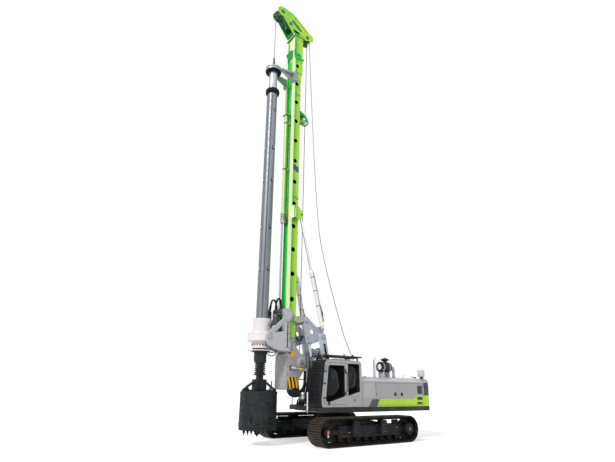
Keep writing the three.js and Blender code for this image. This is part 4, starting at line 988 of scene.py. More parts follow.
def make_housing_fittings():
    hood = Shape()
    top = HOOD_TOP
    grille(hood, -3.3, -2.35, -0.95, 0.35, top)
    hood.box(P(-2.25, -0.95, top), P(-1.75, 0.35, top + 0.02), GREY, 0.01)
    for y in (-0.7, 0.1):
        hood.box(P(-2.28, y - 0.05, top), P(-2.22, y + 0.05, top + 0.032), DARK_GREY, 0.006)
    hood.pipe([P(-1.83, -0.4, top + 0.01), P(-1.83, -0.4, top + 0.06), P(-1.83, -0.2, top + 0.06),
               P(-1.83, -0.2, top + 0.01)], 0.008, DARK_GREY, 8)
    for x, height in ((-2.81, 0.13), (-3.33, 0.1)):
        hood.turned([(0, 0), (0.06, 0), (0.06, 0.01), (0.04, 0.02), (0.04, height - 0.03),
                     (0.055, height - 0.03), (0.055, height), (0, height)], WHITE, P(x, 1.0, top), sides=24)
    for side in (1, -1):
        y0, y1 = span(side, 0.66, 0.98)
        hood.box(P(-1.5, y0, top), P(-0.12, y1, top + 0.006), BLACK, 0)
        hood.box(P(-1.56, side * 0.64, 2.19), P(-0.04, side * 0.655, top + 0.012), DARK_GREY, 0.003)
        for x in (-3.3, -0.2):
            hood.pipe([P(x - 0.06, side * 1.2, top), P(x - 0.05, side * 1.2, top + 0.05),
                       P(x + 0.05, side * 1.2, top + 0.05), P(x + 0.06, side * 1.2, top)], 0.012, DARK_GREY,
                      8)
        hood.plate([(side * 1.3, 2.245), (side * 1.5, 2.115), (side * 1.514, 2.115), (side * 1.514, 2.1),
                    (side * 1.502, 2.1)], "yz", AXIS_X - 3.43, AXIS_X - 0.05, GREY, bevel=0)
        for n in range(9):
            x = -3.3 + n * 0.39
            hood.bolt(P(x, side * HOUSING_FACE, 1.232), (0, side, 0), 0.008, DARK_GREY)
        cover_face = side * (HOUSING_FACE + 0.004)
        hood.box(P(-0.66, side * HOUSING_FACE, 1.52), P(-0.1, cover_face, 2.06), GREY, 0.003)
        for x in (-0.63, -0.13):
            for z in (1.55, 2.03):
                hood.bolt(P(x, cover_face, z), (0, side, 0), 0.008, DARK_GREY)
    hood.box(P(-1.56, -0.655, 2.19), P(-1.545, 0.655, top + 0.012), DARK_GREY, 0.003)
    hood.box(P(-3.78, 1.14, 2.262), P(-3.66, 1.26, 2.36), DARK_GREY, 0.006)
    hood.box(P(-3.812, 1.09, 2.35), P(-3.6, 1.31, 2.62), ROSE_GREY, 0.02, segments=2)
    hood.turned([(0, 0), (0.075, 0), (0.07, 0.012), (0, 0.016)], GLASS, P(-3.812, 1.2, 2.49), (-1, 0, 0), 24)
    hood.finish("housing_fittings", "upper", slot="grey_paint")


def make_exhaust():
    pipe = Shape()
    foot = P(-1.27, 0.9, ON_HOOD)
    pipe.turned(cap(0.075, 0.014, 0.05, 0.018), DARK_GREY, foot, sides=28)
    pipe.bolts(foot + Vector((0, 0, 0.014)), (0, 0, 1), 0.062, 6, 0.006)
    path = [P(-1.27, 0.9, 2.285), P(-1.27, 0.9, 2.6), P(-1.27, 0.9, 2.9), P(-1.285, 0.9, 2.98),
            P(-1.325, 0.9, 3.03)]
    pipe.pipe(path, 0.044, CHROME, 28)
    # the mouth: a near-black disc, painted shade inside the pipe along with its burnt blackening
    pipe.turned(disc(0.039, 0.0015), SHADE_AND_SOOT, path[-1], path[-1] - path[-2], 24)
    for z in (2.42, 2.70):
        pipe.turned(tube(0.043, 0.049, 0, 0.025), SILVER, P(-1.27, 0.9, z), sides=28)
    pipe.finish("exhaust_stack", "upper", ["exhaust_pipe"], "chrome")


def make_air_cleaner():
    cleaner = Shape()
    y, z = 0.9, 2.68
    x0, x1, r = -2.11, -1.565, 0.2
    body = [(0, 0), (r - 0.03, 0), (r - 0.01, 0.02)]
    for n in range(4):
        s = 0.06 + n * 0.11
        body += [(r - 0.01, s), (r, s + 0.008), (r, s + 0.03), (r - 0.01, s + 0.038)]
    body += [(r - 0.01, 0.5), (r, 0.508), (r, x1 - x0), (0, x1 - x0)]
    cleaner.turned(body, BLACK, P(x0, y, z), (1, 0, 0), 40)
    cleaner.turned(cap(0.188, 0.006, 0.15, 0.014), BLACK, P(x1, y, z), (1, 0, 0), 40)
    cleaner.turned([(0, 0.013), (0.115, 0.013), (0.11, 0.02), (0.05, 0.024), (0.03, 0.032), (0, 0.032)],
                   WHITE, P(x1, y, z), (1, 0, 0), 40)
    for n in range(3):
        angle = math.radians(90 + 120 * n)
        spot = P(x1 - 0.03, y + (r + 0.004) * math.cos(angle), z + (r + 0.004) * math.sin(angle))
        cleaner.box(spot - Vector((0.04, 0.012, 0.012)), spot + Vector((0.03, 0.012, 0.012)), SILVER, 0.003)
    for x in (-2.0, -1.68):
        cleaner.turned(tube(r - 0.005, r + 0.005, 0, 0.035), SILVER, P(x, y, z), (1, 0, 0), 40)
        cleaner.plate([(y - 0.17, ON_HOOD), (y + 0.17, ON_HOOD), (y + 0.15, 2.55), (y + 0.08, 2.6),
                       (y - 0.08, 2.6), (y - 0.15, 2.55)], "yz", AXIS_X + x + 0.005, AXIS_X + x + 0.03, PALE)
        for dy in (-0.14, 0.14):
            cleaner.box(P(x - 0.03, y + dy - 0.03, ON_HOOD), P(x + 0.05, y + dy + 0.03, 2.278), DARK_GREY,
                        0.002)
    neck = P(-1.88, y, 2.86)
    cleaner.turned([(0, 0), (0.075, 0), (0.075, 0.05), (0.085, 0.055), (0.085, 0.07), (0.15, 0.085),
                    (0.165, 0.1), (0.165, 0.12), (0.14, 0.145), (0.08, 0.17), (0.03, 0.185), (0, 0.185)],
                   BLACK, neck, sides=40)
    for n in range(16):
        angle = 2 * math.pi * n / 16
        way = outward(angle)
        cleaner.rod(neck + way * 0.12 + Vector((0, 0, 0.055)), neck + way * 0.145 + Vector((0, 0, 0.085)),
                    0.006, BLACK, 6)
    cleaner.turned(disc(0.09, 0.06), SILVER, P(-2.17, y, z), (1, 0, 0), 28)
    path = [P(-2.16, y, z), P(-2.30, y - 0.003, z - 0.012), P(-2.375, y - 0.018, z - 0.09),
            P(-2.4, y - 0.035, z - 0.2), P(-2.4, y - 0.042, 2.28)]
    cleaner.pipe(path, 0.062, SILVER, 24)
    for spot, way in ((path[0], (-1, 0, 0)), (P(-2.4, 0.859, 2.44), (0, 0, 1))):
        cleaner.turned(tube(0.06, 0.067, 0, 0.02), CHROME, spot, way, 28)
    cleaner.turned(cap(0.095, 0.02, 0.07, 0.03), DARK_GREY, P(-2.4, 0.858, ON_HOOD), sides=28)
    cleaner.finish("air_cleaner_unit", "upper", ["air_cleaner"], "dark_paint")


def make_deck_fittings():
    deck = Shape()
    for side in (1, -1):
        face = side * HOUSING_FACE
        for x0, x1 in ((-3.66, -3.46), (-3.43, -1.96), (-1.93, -0.78), (-0.75, 0.4),
                       (0.43, 1.7 if side > 0 else 1.1)):
            deck.box(P(x0, face - side * 0.002, 1.06), P(x1, face + side * 0.005, 1.19), SKIRT, 0.003)
            for x in (x0 + 0.04, x1 - 0.04):
                for z in (1.085, 1.165):
                    deck.bolt(P(x, face + side * 0.005, z), (0, side, 0), 0.007, DARK_GREY)
        deck.box(P(-3.66, face, 1.196), P(-0.05, face + side * 0.012, 1.208), DARK_GREY, 0.003)
    # gratings: slats over a black sheet that paints the shade beneath them
    for x0, x1, y0, y1 in ((0.02, 1.1, -1.49, -0.7), (0.02, 0.4, -0.45, 0.45)):
        deck.box(P(x0, y0, 1.21), P(x1, y1, 1.214), BLACK, 0)
        for n in range(int((x1 - x0) / 0.06)):
            x = x0 + 0.03 + n * 0.06
            deck.box(P(x - 0.006, y0 + 0.02, 1.214), P(x + 0.006, y1 - 0.02, 1.218), DARK_GREY, 0)
    deck.pipe([P(1.08, -1.45, 1.21), P(1.08, -1.45, 2.0), P(0.95, -1.45, 2.15), P(0.25, -1.45, 2.15),
               P(0.12, -1.45, 2.0), P(0.12, -1.45, 1.21)], 0.019, DARK_GREY, 12)
    deck.pipe([P(1.08, -1.45, 1.7), P(0.12, -1.45, 1.7)], 0.015, DARK_GREY, 10)
    deck.box(P(0.1, -1.3, 1.216), P(0.8, -0.8, 1.75), GREY, 0.03, segments=2)
    deck.turned(disc(0.06, 0.05), BLACK, P(0.3, -1.05, 1.75), sides=20)
    deck.box(P(0.795, -1.22, 1.3), P(0.805, -0.88, 1.68), DARK_GREY, 0.004)
    for side in (1, -1):
        for x, z, y in ((0.72, 1.6, 0.688), (1.32, 1.36, 0.65)):
            deck.turned([(0, 0), (0.075, 0), (0.075, 0.008), (0.045, 0.012), (0.045, 0.02), (0, 0.02)],
                        DARK_GREY, P(x, side * y, z), (0, side, 0), 24)
        for y, way in ((0.087, -side), (0.313, side)):
            deck.turned([(0, 0), (0.05, 0), (0.045, 0.012), (0, 0.012)], DARK_GREY, P(1.3, side * y, 1.34),
                        (0, way, 0), 20)
    for n in range(6):
        y = -0.075 + n * 0.03
        deck.pipe([P(-0.55, y * 2, 1.25), P(0.0, y * 1.6, 1.3), P(0.45, y * 1.4, 1.26), P(1.1, y, 1.24),
                   P(1.38, y, 1.235)], 0.013, RUBBER, 8)
    deck.box(P(1.34, -0.1, 1.211), P(1.44, 0.1, 1.27), SILVER, 0.006)
    deck.pipe([P(2.02, 0.9, 1.03), P(2.02, 0.9, 1.7)], 0.024, WHITE, 14)
    deck.box(P(1.84, 0.86, 1.07), P(2.05, 0.94, 1.1), DARK_GREY, 0.005)
    deck.box(P(1.84, 0.75, 1.06), P(1.99, 1.42, 1.09), DARK_GREY, 0.005)
    for x in (1.88, 1.95):
        deck.box(P(x - 0.006, 0.77, 1.09), P(x + 0.006, 1.4, 1.1), CHAIN_STEEL, 0)
    deck.finish("deck_fittings", "upper", slot="dark_paint")


def make_counterweight_fittings():
    weight = Shape()
    for y in (-0.85, 0.85):
        weight.box(P(-3.83, y - 0.012, 1.1), P(-3.822, y + 0.012, 2.2), SHADE_AND_SOOT, 0)
        weight.pipe([P(-3.62, y - 0.09, 2.255), P(-3.62, y - 0.075, 2.32), P(-3.62, y + 0.075, 2.32),
                     P(-3.62, y + 0.09, 2.255)], 0.018, DARK_GREY, 10)
    # the grille: a near-black sheet behind its slats paints the shade there
    grille_face = -3.8295
    weight.box(P(grille_face + 0.0005, -0.52, 1.62), P(grille_face + 0.01, 0.52, 2.1), SHADE_AND_SOOT, 0)
    for n in range(12):
        z = 1.64 + n * 0.04
        weight.box(P(grille_face, -0.5, z - 0.006), P(grille_face + 0.01, 0.5, z + 0.006), DARK_GREY, 0)
    for side in (1, -1):
        weight.box(P(grille_face, side * 1.1 - 0.09, 1.36), P(grille_face + 0.01, side * 1.1 + 0.09, 1.43),
                   ORANGE, 0)
        weight.box(P(-3.5, side * 1.507, 1.22), P(-3.494, side * 1.5115, 2.1), SHADE_AND_SOOT, 0)
        for z in (1.15, 1.95):
            weight.turned(disc(0.035, 0.01), DARK_GREY, P(-3.62, side * HOUSING_FACE, z), (0, side, 0), 20)
            weight.bolt(P(-3.62, side * 1.52, z), (0, side, 0), 0.018)
    weight.finish("counterweight_fittings", "upper", slot="dark_paint")


def make_auxiliary_winch():
    winch = Shape()
    x, z = -1.18, 1.72
    for n in range(21):
        y = -0.29 + n * 0.029
        winch.turned([(0.178, -0.0145), (0.188, -0.012), (0.194, 0), (0.188, 0.012), (0.178, 0.0145),
                      (0.178, -0.0145)], ROPE, P(x, y, z), (0, 1, 0), 40)
    for side in (1, -1):
        winch.bolts(P(x, side * 0.325, z), (0, side, 0), 0.2, 12, 0.012)
    winch.finish("auxiliary_winch_rope", "auxiliary_winch", slot="wire_rope")
    stand = Shape()
    for side in (1, -1):
        face = side * 0.4
        stand.turned([(0.062, 0), (0.13, 0), (0.13, 0.015), (0.1, 0.03), (0.062, 0.03), (0.062, 0)],
                     DARK_GREY, P(x, face, z), (0, side, 0), 32)
        stand.bolts(P(x, face + side * 0.015, z), (0, side, 0), 0.115, 10, 0.009)
    stand.turned([(0, 0), (0.11, 0), (0.11, 0.09), (0.08, 0.1), (0.08, 0.19), (0.05, 0.2), (0, 0.2)],
                 DARK_GREY, P(x, 0.432, z), (0, 1, 0), 28)
    for angle in (0.5, 1.3):
        spot = P(x + 0.07 * math.cos(angle), 0.6, z + 0.07 * math.sin(angle))
        stand.pipe([spot, spot + Vector((0.1, 0.0, 0.05)), spot + Vector((0.3, -0.03, -0.1)),
                    spot + Vector((0.42, -0.05, -0.45))], 0.014, RUBBER, 8)
    stand.finish("auxiliary_winch_motor", "upper", slot="dark_paint")


make_housing_fittings()
make_exhaust()
make_air_cleaner()
make_deck_fittings()
make_counterweight_fittings()
make_auxiliary_winch()

# ---------------------------------------------------------------- cab


def rounded(points, radius, steps=4):
    """An outline with its corners rounded."""
    out = []
    count = len(points)
    for n in range(count):
        before, corner, after = (Vector(points[(n + k) % count]) for k in (-1, 0, 1))
        r = min(radius, (before - corner).length / 2.5, (after - corner).length / 2.5)
        start = corner + (before - corner).normalized() * r
        end = corner + (after - corner).normalized() * r
        for k in range(steps + 1):
            t = k / steps
            point = start * (1 - t) ** 2 + corner * 2 * t * (1 - t) + end * t * t
            out.append((point.x, point.y))
    return out


def inset(points, amount):
    """An outline drawn in towards its middle by about `amount`."""
    middle = sum((Vector(p) for p in points), Vector((0, 0))) / len(points)
    out = []
    for p in points:
        away = Vector(p) - middle
        out.append(tuple(middle + away * (1 - amount / away.length)))
    return out


DOOR_WINDOW = [(0.815, 1.58), (1.56, 1.38), (1.655, 1.44), (1.66, 1.52), (1.545, 2.56), (1.49, 2.615),
               (0.815, 2.615)]
RIGHT_WINDOW = [(0.09, 1.745), (1.56, 1.5), (1.64, 1.5), (1.54, 2.64), (0.12, 2.69), (0.09, 2.65)]
REAR_WINDOW = [(0.09, 1.745), (0.64, 1.6), (0.64, 2.69), (0.12, 2.69), (0.09, 2.65)]


def seal(shape, window, low, high):
    shape.plate(X(inset(window, -0.012)), "xz", low, high, RUBBER, [X(inset(window, 0.014))], bevel=0)


def make_cab_fittings():
    cab = Shape()
    seal(cab, REAR_WINDOW, 1.487, 1.503)
    seal(cab, RIGHT_WINDOW, 0.697, 0.713)
    cab.turned(disc(0.03, 0.004), SHADE_AND_SOOT, P(0.35, 1.5, 1.45), (0, 1, 0), 24)
    lean = (1.851 - 1.693) / (2.64 - 1.42)

    def front(z, out=0.0):
        """How far forward the leaning windscreen stands at a height."""
        return 1.862 - lean * (z - 1.42) * 1.03 + out

    for y in (0.77, 1.43):
        cab.plate([(AXIS_X + front(1.41) - 0.012, 1.41), (AXIS_X + front(1.41) + 0.003, 1.41),
                   (AXIS_X + front(2.65) + 0.003, 2.65), (AXIS_X + front(2.65) - 0.012, 2.65)], "xz",
                  y - 0.014, y + 0.014, RUBBER, bevel=0)
    for z in (1.42, 2.64):
        cab.box(P(front(z) - 0.014, 0.76, z - 0.012), P(front(z) + 0.003, 1.44, z + 0.012), RUBBER, 0)
    for x in (0.18, 0.32, 0.46):
        cab.box(P(x - 0.05, 1.5, 1.55), P(x + 0.05, 1.503, 1.562), BLACK, 0)
    cab.box(P(-0.034, 0.82, 1.5), P(-0.028, 1.38, 2.5), BLACK, 0.002)
    cab.box(P(0.02, 0.74, 2.8), P(1.6, 1.46, 2.812), CAB_GREY, 0.005)
    cab.box(P(0.35, 0.85, 2.812), P(1.15, 1.35, 2.86), CAB_GREY, 0.02, segments=2)
    # mirror on its arm, and the grab rail
    cab.pipe([P(1.79, 1.5, 2.1), P(1.83, 1.53, 2.2), P(1.86, 1.55, 2.5), P(1.86, 1.55, 2.78)], 0.011, BLACK,
             10)
    cab.box(P(1.83, 1.47, 2.5), P(1.85, 1.63, 2.76), BLACK, 0.012, segments=2)
    cab.box(P(1.829, 1.485, 2.515), P(1.8305, 1.615, 2.745), CHROME, 0)
    cab.pipe([P(0.71, 1.5, 1.75), P(0.71, 1.535, 1.78), P(0.71, 1.535, 2.35), P(0.71, 1.5, 2.38)], 0.011,
             BLACK, 10)
    # lamps
    for x, y, z, way in ((0.21, 1.3, 2.99, (-0.35, 0.6, -0.1)), (1.7, 0.85, 2.93, (1, 0, -0.15)),
                         (1.7, 1.35, 2.93, (1, 0, -0.15))):
        spot = P(x, y, z)
        cab.turned([(0, -0.05), (0.035, -0.045), (0.055, -0.01), (0.055, 0.015), (0, 0.015)], BLACK, spot,
                   way, 24)
        cab.turned([(0, 0.015), (0.047, 0.015), (0.047, 0.018), (0, 0.022)], SILVER, spot, way, 24)
        cab.rod(P(x, y, min(z, 2.95)), P(x, y, 2.81), 0.009, BLACK, 8)
    cab.turned([(0, 0), (0.05, 0), (0.05, 0.02), (0.042, 0.03), (0.04, 0.09), (0.02, 0.11), (0, 0.112)],
               ORANGE, P(0.3, 0.9, 2.975), sides=24)
    # wiper
    cab.rod(P(front(1.46, 0.012), 1.2, 1.46), P(front(2.2, 0.014), 1.02, 2.2), 0.006, BLACK, 8)
    cab.box(P(front(2.1, 0.004), 0.985, 1.8), P(front(1.9, 0.016), 1.0, 2.45), RUBBER, 0)
    # the dark sheet over the cab's floor
    cab.box(P(0.0, 0.72, 1.2105), P(1.8, 1.49, 1.216), BLACK, 0)
    cab.finish("cab_fittings", "upper", slot="grey_paint")


def make_cab_guard():
    guard = Shape()
    def corner(y, z):
        """A point on the guard's leaning face."""
        x = 1.905 - 0.09 * (z - 1.24) / 1.7
        return P(x, y, z)

    inner, outer, low, high = 0.735, 1.465, 1.25, 2.9
    for y in (inner, outer):
        guard.pipe([corner(y, low), corner(y, high)], 0.016, BLACK, 10)
    for z in (low, 1.8, 2.35, high):
        guard.pipe([corner(inner, z), corner(outer, z)], 0.014, BLACK, 10)
    count = 13
    for n in range(1, count):
        y = inner + n * 0.73 / count
        guard.pipe([corner(y, low), corner(y, high)], 0.01, BLACK, 6)
    for n in range(1, 26):
        z = low + n * (high - low) / 26
        guard.pipe([corner(inner, z) + Vector((0.007, 0, 0)), corner(outer, z) + Vector((0.007, 0, 0))],
                   0.008, BLACK, 6)
    for y in (inner, outer):
        for z, reach in ((1.3, 1.845), (2.75, 1.66)):
            guard.pipe([corner(y, z), P(reach, y, z)], 0.012, BLACK, 8)
    # bars over the roof
    for n in range(1, 14):
        x = -0.05 + n * 0.125
        guard.box(P(x - 0.006, 0.74, 2.936), P(x + 0.006, 1.45, 2.962), BLACK, 0)
    guard.finish("cab_guard", "upper", slot="dark_paint")


def make_cab_door():
    door = Shape()
    seal(door, DOOR_WINDOW, 1.487, 1.503)
    door.box(P(0.745, 1.5, 2.36), P(0.79, 1.525, 2.5), BLACK, 0.008, segments=2)
    door.box(P(0.745, 1.5, 1.62), P(0.80, 1.512, 1.72), BLACK, 0.006)
    door.turned([(0, 0), (0.055, 0), (0.052, 0.006), (0, 0.008)], BLACK, P(1.53, 1.4995, 1.345), (0, 1, 0),
                28)
    for n in range(4):
        door.box(P(1.49, 1.505, 1.322 + n * 0.014), P(1.57, 1.511, 1.327 + n * 0.014), DARK_GREY, 0)
    for z in (1.52, 2.0, 2.4):
        door.rod(P(1.765, 1.5, z - 0.035), P(1.765, 1.5, z + 0.035), 0.012, BLACK, 12)
        door.box(P(1.66 if z < 2.2 else 1.63, 1.497, z - 0.02), P(1.765, 1.506, z + 0.02), BLACK, 0.002)
    door.pipe([P(0.86, 1.465, 1.65), P(0.86, 1.44, 1.68), P(0.86, 1.44, 2.1), P(0.86, 1.465, 2.13)], 0.01,
              BLACK, 8)
    door.finish("cab_door_fittings", "cab_door", slot="grey_paint")


def cushion(name, size, at, lean, body):
    """A crowned seat pad: a rounded block whose sides pull in between its corners, with two sewn channels."""
    part = bmesh.new()
    bmesh.ops.create_cube(part, size=1.0)
    bmesh.ops.subdivide_edges(part, edges=part.edges, cuts=22, use_grid_fill=True)
    for vert in part.verts:
        x, y, z = (2 * c for c in vert.co)
        pinch = 1 - 0.05 * (1 - (x * x) ** 1.5) * abs(y) ** 3 - 0.05 * (1 - (y * y) ** 1.5) * abs(x) ** 3
        round_off = (max(abs(x), abs(y)) ** 6) * 0.32
        crown = 1 + 0.22 * (1 - x * x) * (1 - y * y)
        channel = sum(math.exp(-((y - c) / 0.055) ** 2) for c in (-0.42, 0.42)) * 0.13 * (1 - abs(x) ** 8)
        height = z * (crown - (round_off if z > 0 else round_off * 0.6)) - (channel if z > 0.5 else 0)
        vert.co = (x * pinch * size[0] / 2, y * pinch * size[1] / 2, height * size[2] / 2)
    place = Matrix.Translation(at) @ Matrix.Rotation(lean, 4, "Y")
    shape = Shape()
    shape.take(part, FABRIC, turn=place)
    return shape.finish(name, body, slot="seat_fabric")


def make_operator_seat():
    base = Shape()
    floor = 1.2605
    base.box(P(0.45, 0.96, floor), P(0.82, 1.24, floor + 0.03), BLACK, 0.006)
    for n in range(6):
        z = floor + 0.03 + n * 0.045
        base.box(P(0.48 + 0.008 * (n % 2), 0.98 + 0.008 * (n % 2), z),
                 P(0.79 - 0.008 * (n % 2), 1.22 - 0.008 * (n % 2), z + 0.045), RUBBER, 0.012)
    base.box(P(0.42, 0.93, 1.56), P(0.85, 1.27, 1.61), BLACK, 0.01)
    base.box(P(0.36, 0.98, 1.6), P(0.42, 1.22, 2.1), BLACK, 0.012)
    for y in (0.84, 1.36):
        base.box(P(0.5, y - 0.045, 1.82), P(0.92, y + 0.045, 1.86), BLACK, 0.018, segments=2)
        base.box(P(0.55, y - 0.03, 1.58), P(0.66, y + 0.03, 1.82), BLACK, 0.01)
        base.pipe([P(0.86, y, 1.86), P(0.87, y, 1.93), P(0.875, y, 1.97)], 0.011, BLACK, 8)
        base.turned([(0, 0), (0.02, 0.005), (0.027, 0.04), (0.024, 0.075), (0, 0.09)], BLACK,
                    P(0.873, y, 1.95), sides=16)
    base.finish("seat_base", "upper", ["operator_seat"], "seat_fabric")
    cushion("seat_cushion", (0.5, 0.46, 0.12), P(0.64, 1.1, 1.675), math.radians(-4), "upper")
    cushion("seat_back_cushion", (0.62, 0.44, 0.11), P(0.44, 1.1, 2.05), math.radians(-82),
                      "upper")
    cushion("head_rest", (0.16, 0.28, 0.09), P(0.405, 1.1, 2.47), math.radians(-84), "upper")


def make_console():
    console = Shape()
    console.box(P(1.43, 0.84, 1.92), P(1.47, 1.12, 2.14), BLACK, 0.01)
    console.box(P(1.4275, 0.86, 1.94), P(1.4305, 1.10, 2.12), NAVY, 0)
    console.rod(P(1.5, 0.98, 1.85), P(1.46, 0.98, 1.95), 0.012, BLACK, 10)
    for y in (1.18, 1.32):
        console.pipe([P(1.5, y, 1.262), P(1.49, y, 1.45), P(1.42, y, 1.68)], 0.011, BLACK, 8)
        console.turned([(0, 0), (0.022, 0.01), (0.026, 0.04), (0.015, 0.06), (0, 0.062)], RUBBER,
                       P(1.42, y, 1.67), (-0.3, 0, 1), 14)
        console.box(P(1.3, y - 0.05, 1.27), P(1.48, y + 0.05, 1.29), BLACK, 0.006)
    console.box(P(0.05, 0.75, 1.2605), P(1.78, 1.45, 1.268), RUBBER, 0)
    console.box(P(0.03, 0.78, 1.3), P(0.25, 1.42, 1.62), DARK_GREY, 0.02, segments=2)
    console.finish("cab_interior", "upper", slot="dark_paint")


make_cab_fittings()
make_cab_guard()
make_cab_door()
make_operator_seat()
make_console()

# ---------------------------------------------------------------- boom, links and cylinders


def pin_cap(shape, x, y, z, side, radius, look=None, thick=0.014):
    """A pin's end plate with its keeper and bolts."""
    out = (0, side, 0)
    shape.turned(cap(radius, thick * 0.6, radius * 0.85, thick), look or DARK_GREY, P(x, y, z), out, 28)
    shape.bolts(P(x, y + side * thick, z), out, radius * 0.6, 4, radius * 0.1, first=0.6)


def make_boom_fittings():
    boom = Shape()
    for side in (1, -1):
        face = side * 0.64
        pin_cap(boom, 0.905, face - side * 0.105, 3.15, -side, 0.06)
        for z in (2.0, 2.6, 3.2):
            x = 0.72 + 0.4 * (z - 1.6) / 2.1
            boom.box(P(x - 0.05, face, z - 0.02), P(x + 0.05, face + side * 0.012, z + 0.02), DARK_GREY,
                     0.003)
        for n in range(3):
            dx = -0.03 + n * 0.03
            boom.pipe([P(0.76 + dx, face + side * 0.018, 1.8), P(0.83 + dx, face + side * 0.018, 2.2),
                       P(1.03 + dx, face + side * 0.018, 3.25), P(1.07 + dx, face + side * 0.018, 3.45)],
                      0.01, RUBBER, 8)
        rail = [(0.72 - 0.1, 1.85), (0.72 - 0.06, 1.85), (1.12 - 0.07, 3.45), (1.12 - 0.11, 3.45)]
        boom.plate(X(rail), "xz", *sorted((face - side * 0.1, face - side * 0.02)), GREY, bevel=0.003)
    for n in range(6):
        y = -0.15 + n * 0.06
        boom.pipe([P(0.80, y, 2.15), P(0.73, y, 2.4), P(0.80, y, 2.8), P(0.85, y, 3.06)], 0.014, RUBBER, 8)
    boom.box(P(0.75, -0.2, 2.14), P(0.82, 0.2, 2.19), BLACK, 0.004)
    boom.box(P(0.8, -0.2, 3.03), P(0.88, 0.2, 3.07), BLACK, 0.004)
    boom.finish("boom_fittings", "boom", slot="grey_paint")
    links = Shape()
    for side in (1, -1):
        for z, x in ((1.36, 1.32), (3.46, 1.72)):
            links.turned(tube(0.055, 0.078, 0, 0.006), DARK_GREY, P(x, side * 0.6, z), (0, side, 0), 28)
    links.finish("link_fittings", "parallel_links", slot="pale_paint")


def along(a, b, distance):
    return Vector(a) + (Vector(b) - Vector(a)).normalized() * distance


def make_luffing_fittings():
    barrels, rods = Shape(), Shape()
    for side in (1, -1):
        foot, head = P(1.3, side * 0.2, 1.34), P(1.035, side * 0.2, 3.25)
        way = head - foot
        barrels.turned([(0.05, 0), (0.078, 0), (0.078, 0.05), (0.07, 0.06), (0.05, 0.06), (0.05, 0)],
                       DARK_GREY, along(foot, head, 1.2), way, 28)
        for distance in (0.2, 1.1):
            spot = along(foot, head, distance) + Vector((-0.07, 0, 0))
            barrels.box(spot - Vector((0.03, 0.025, 0.03)), spot + Vector((0.01, 0.025, 0.03)), DARK_GREY,
                        0.004)
        start, end = along(foot, head, 0.22) + Vector((-0.095, 0, 0)), along(foot, head,
                                                                             1.1) + Vector((-0.09, 0, 0))
        barrels.pipe([start, along(start, end, 0.4), end], 0.009, SILVER, 8)
        rods.turned([(0.04, 0), (0.05, 0), (0.05, 0.05), (0.04, 0.07), (0.04, 0)], DARK_GREY,
                    along(head, foot, 0.19), head - foot, 24)
    barrels.finish("luffing_cylinder_fittings", "luffing_cylinders", slot="dark_paint")
    rods.finish("luffing_rod_fittings", "luffing_rods", slot="chrome")


def make_support_fittings():
    support = Shape()
    for side in (1, -1):
        face = side * 0.508
        pin_cap(support, 1.12, side * 0.668, 3.7, side, 0.1, STEEL_BLUE)
        pin_cap(support, 1.72, side * 0.636, 3.46, side, 0.065, STEEL_BLUE)
        ring, hole = (circle(AXIS_X + 1.56, 3.86, radius, 28) for radius in (0.125, 0.092))
        support.plate(ring, "xz", *sorted((face, face + side * 0.012)), STEEL_BLUE, [hole], bevel=0.003)
        stiff = [(1.05, 3.95), (1.3, 3.98), (1.78, 4.32), (1.86, 4.3), (1.4, 3.99), (1.2, 3.88), (1.05, 3.88)]
        support.plate(X(stiff), "xz", *sorted((face, face + side * 0.02)), STEEL_BLUE, bevel=0.004)
        support.turned(cap(0.07, 0.03, 0.05, 0.04), STEEL_BLUE, P(1.86, face, 4.27), (0, side, 0), 28)
        for dx in (0.0, 0.045):
            support.pipe([P(1.3 + dx, side * 0.43, 3.78), P(1.45 + dx, side * 0.40, 3.6),
                          P(1.62 + dx, side * 0.41, 3.72), P(1.72 + dx, side * 0.43, 4.05)], 0.013, RUBBER, 8)
        support.box(P(1.27, side * 0.41, 3.76), P(1.38, side * 0.46, 3.82), DARK_GREY, 0.004)
        support.box(P(1.68, side * 0.41, 4.03), P(1.80, side * 0.46, 4.09), DARK_GREY, 0.004)
        support.side_bolts(side, face, ((1.12, 4.0), (1.38, 3.55), (1.75, 3.62), (1.83, 4.16)), 0.016)
    for z in (4.18, 4.36):
        for y in (-0.35, -0.2, 0.2, 0.35):
            support.bolt(P(1.8, y, z), (-1, 0, 0), 0.016)
    support.finish("mast_support_fittings", "mast_support", slot="grey_paint")
    yoke = Shape()
    for side in (1, -1):
        yoke.turned([(0.078, 0), (0.122, 0), (0.122, 0.01), (0.105, 0.022), (0.078, 0.022), (0.078, 0)],
                    STEEL_BLUE, P(TILT_X, side * 0.5, TILT_Z), (0, side, 0), 40)
        yoke.bolts(P(TILT_X, side * 0.52, TILT_Z), (0, side, 0), 0.1, 8, 0.008)
    for n in range(10):
        a = 2 * math.pi * n / 10
        yoke.bolt(P(1.94, 0.1 * math.cos(a), 4.27 + 0.1 * math.sin(a)), (-1, 0, 0), 0.009)
    yoke.finish("mast_yoke_fittings", "mast_yoke", slot="grey_paint")


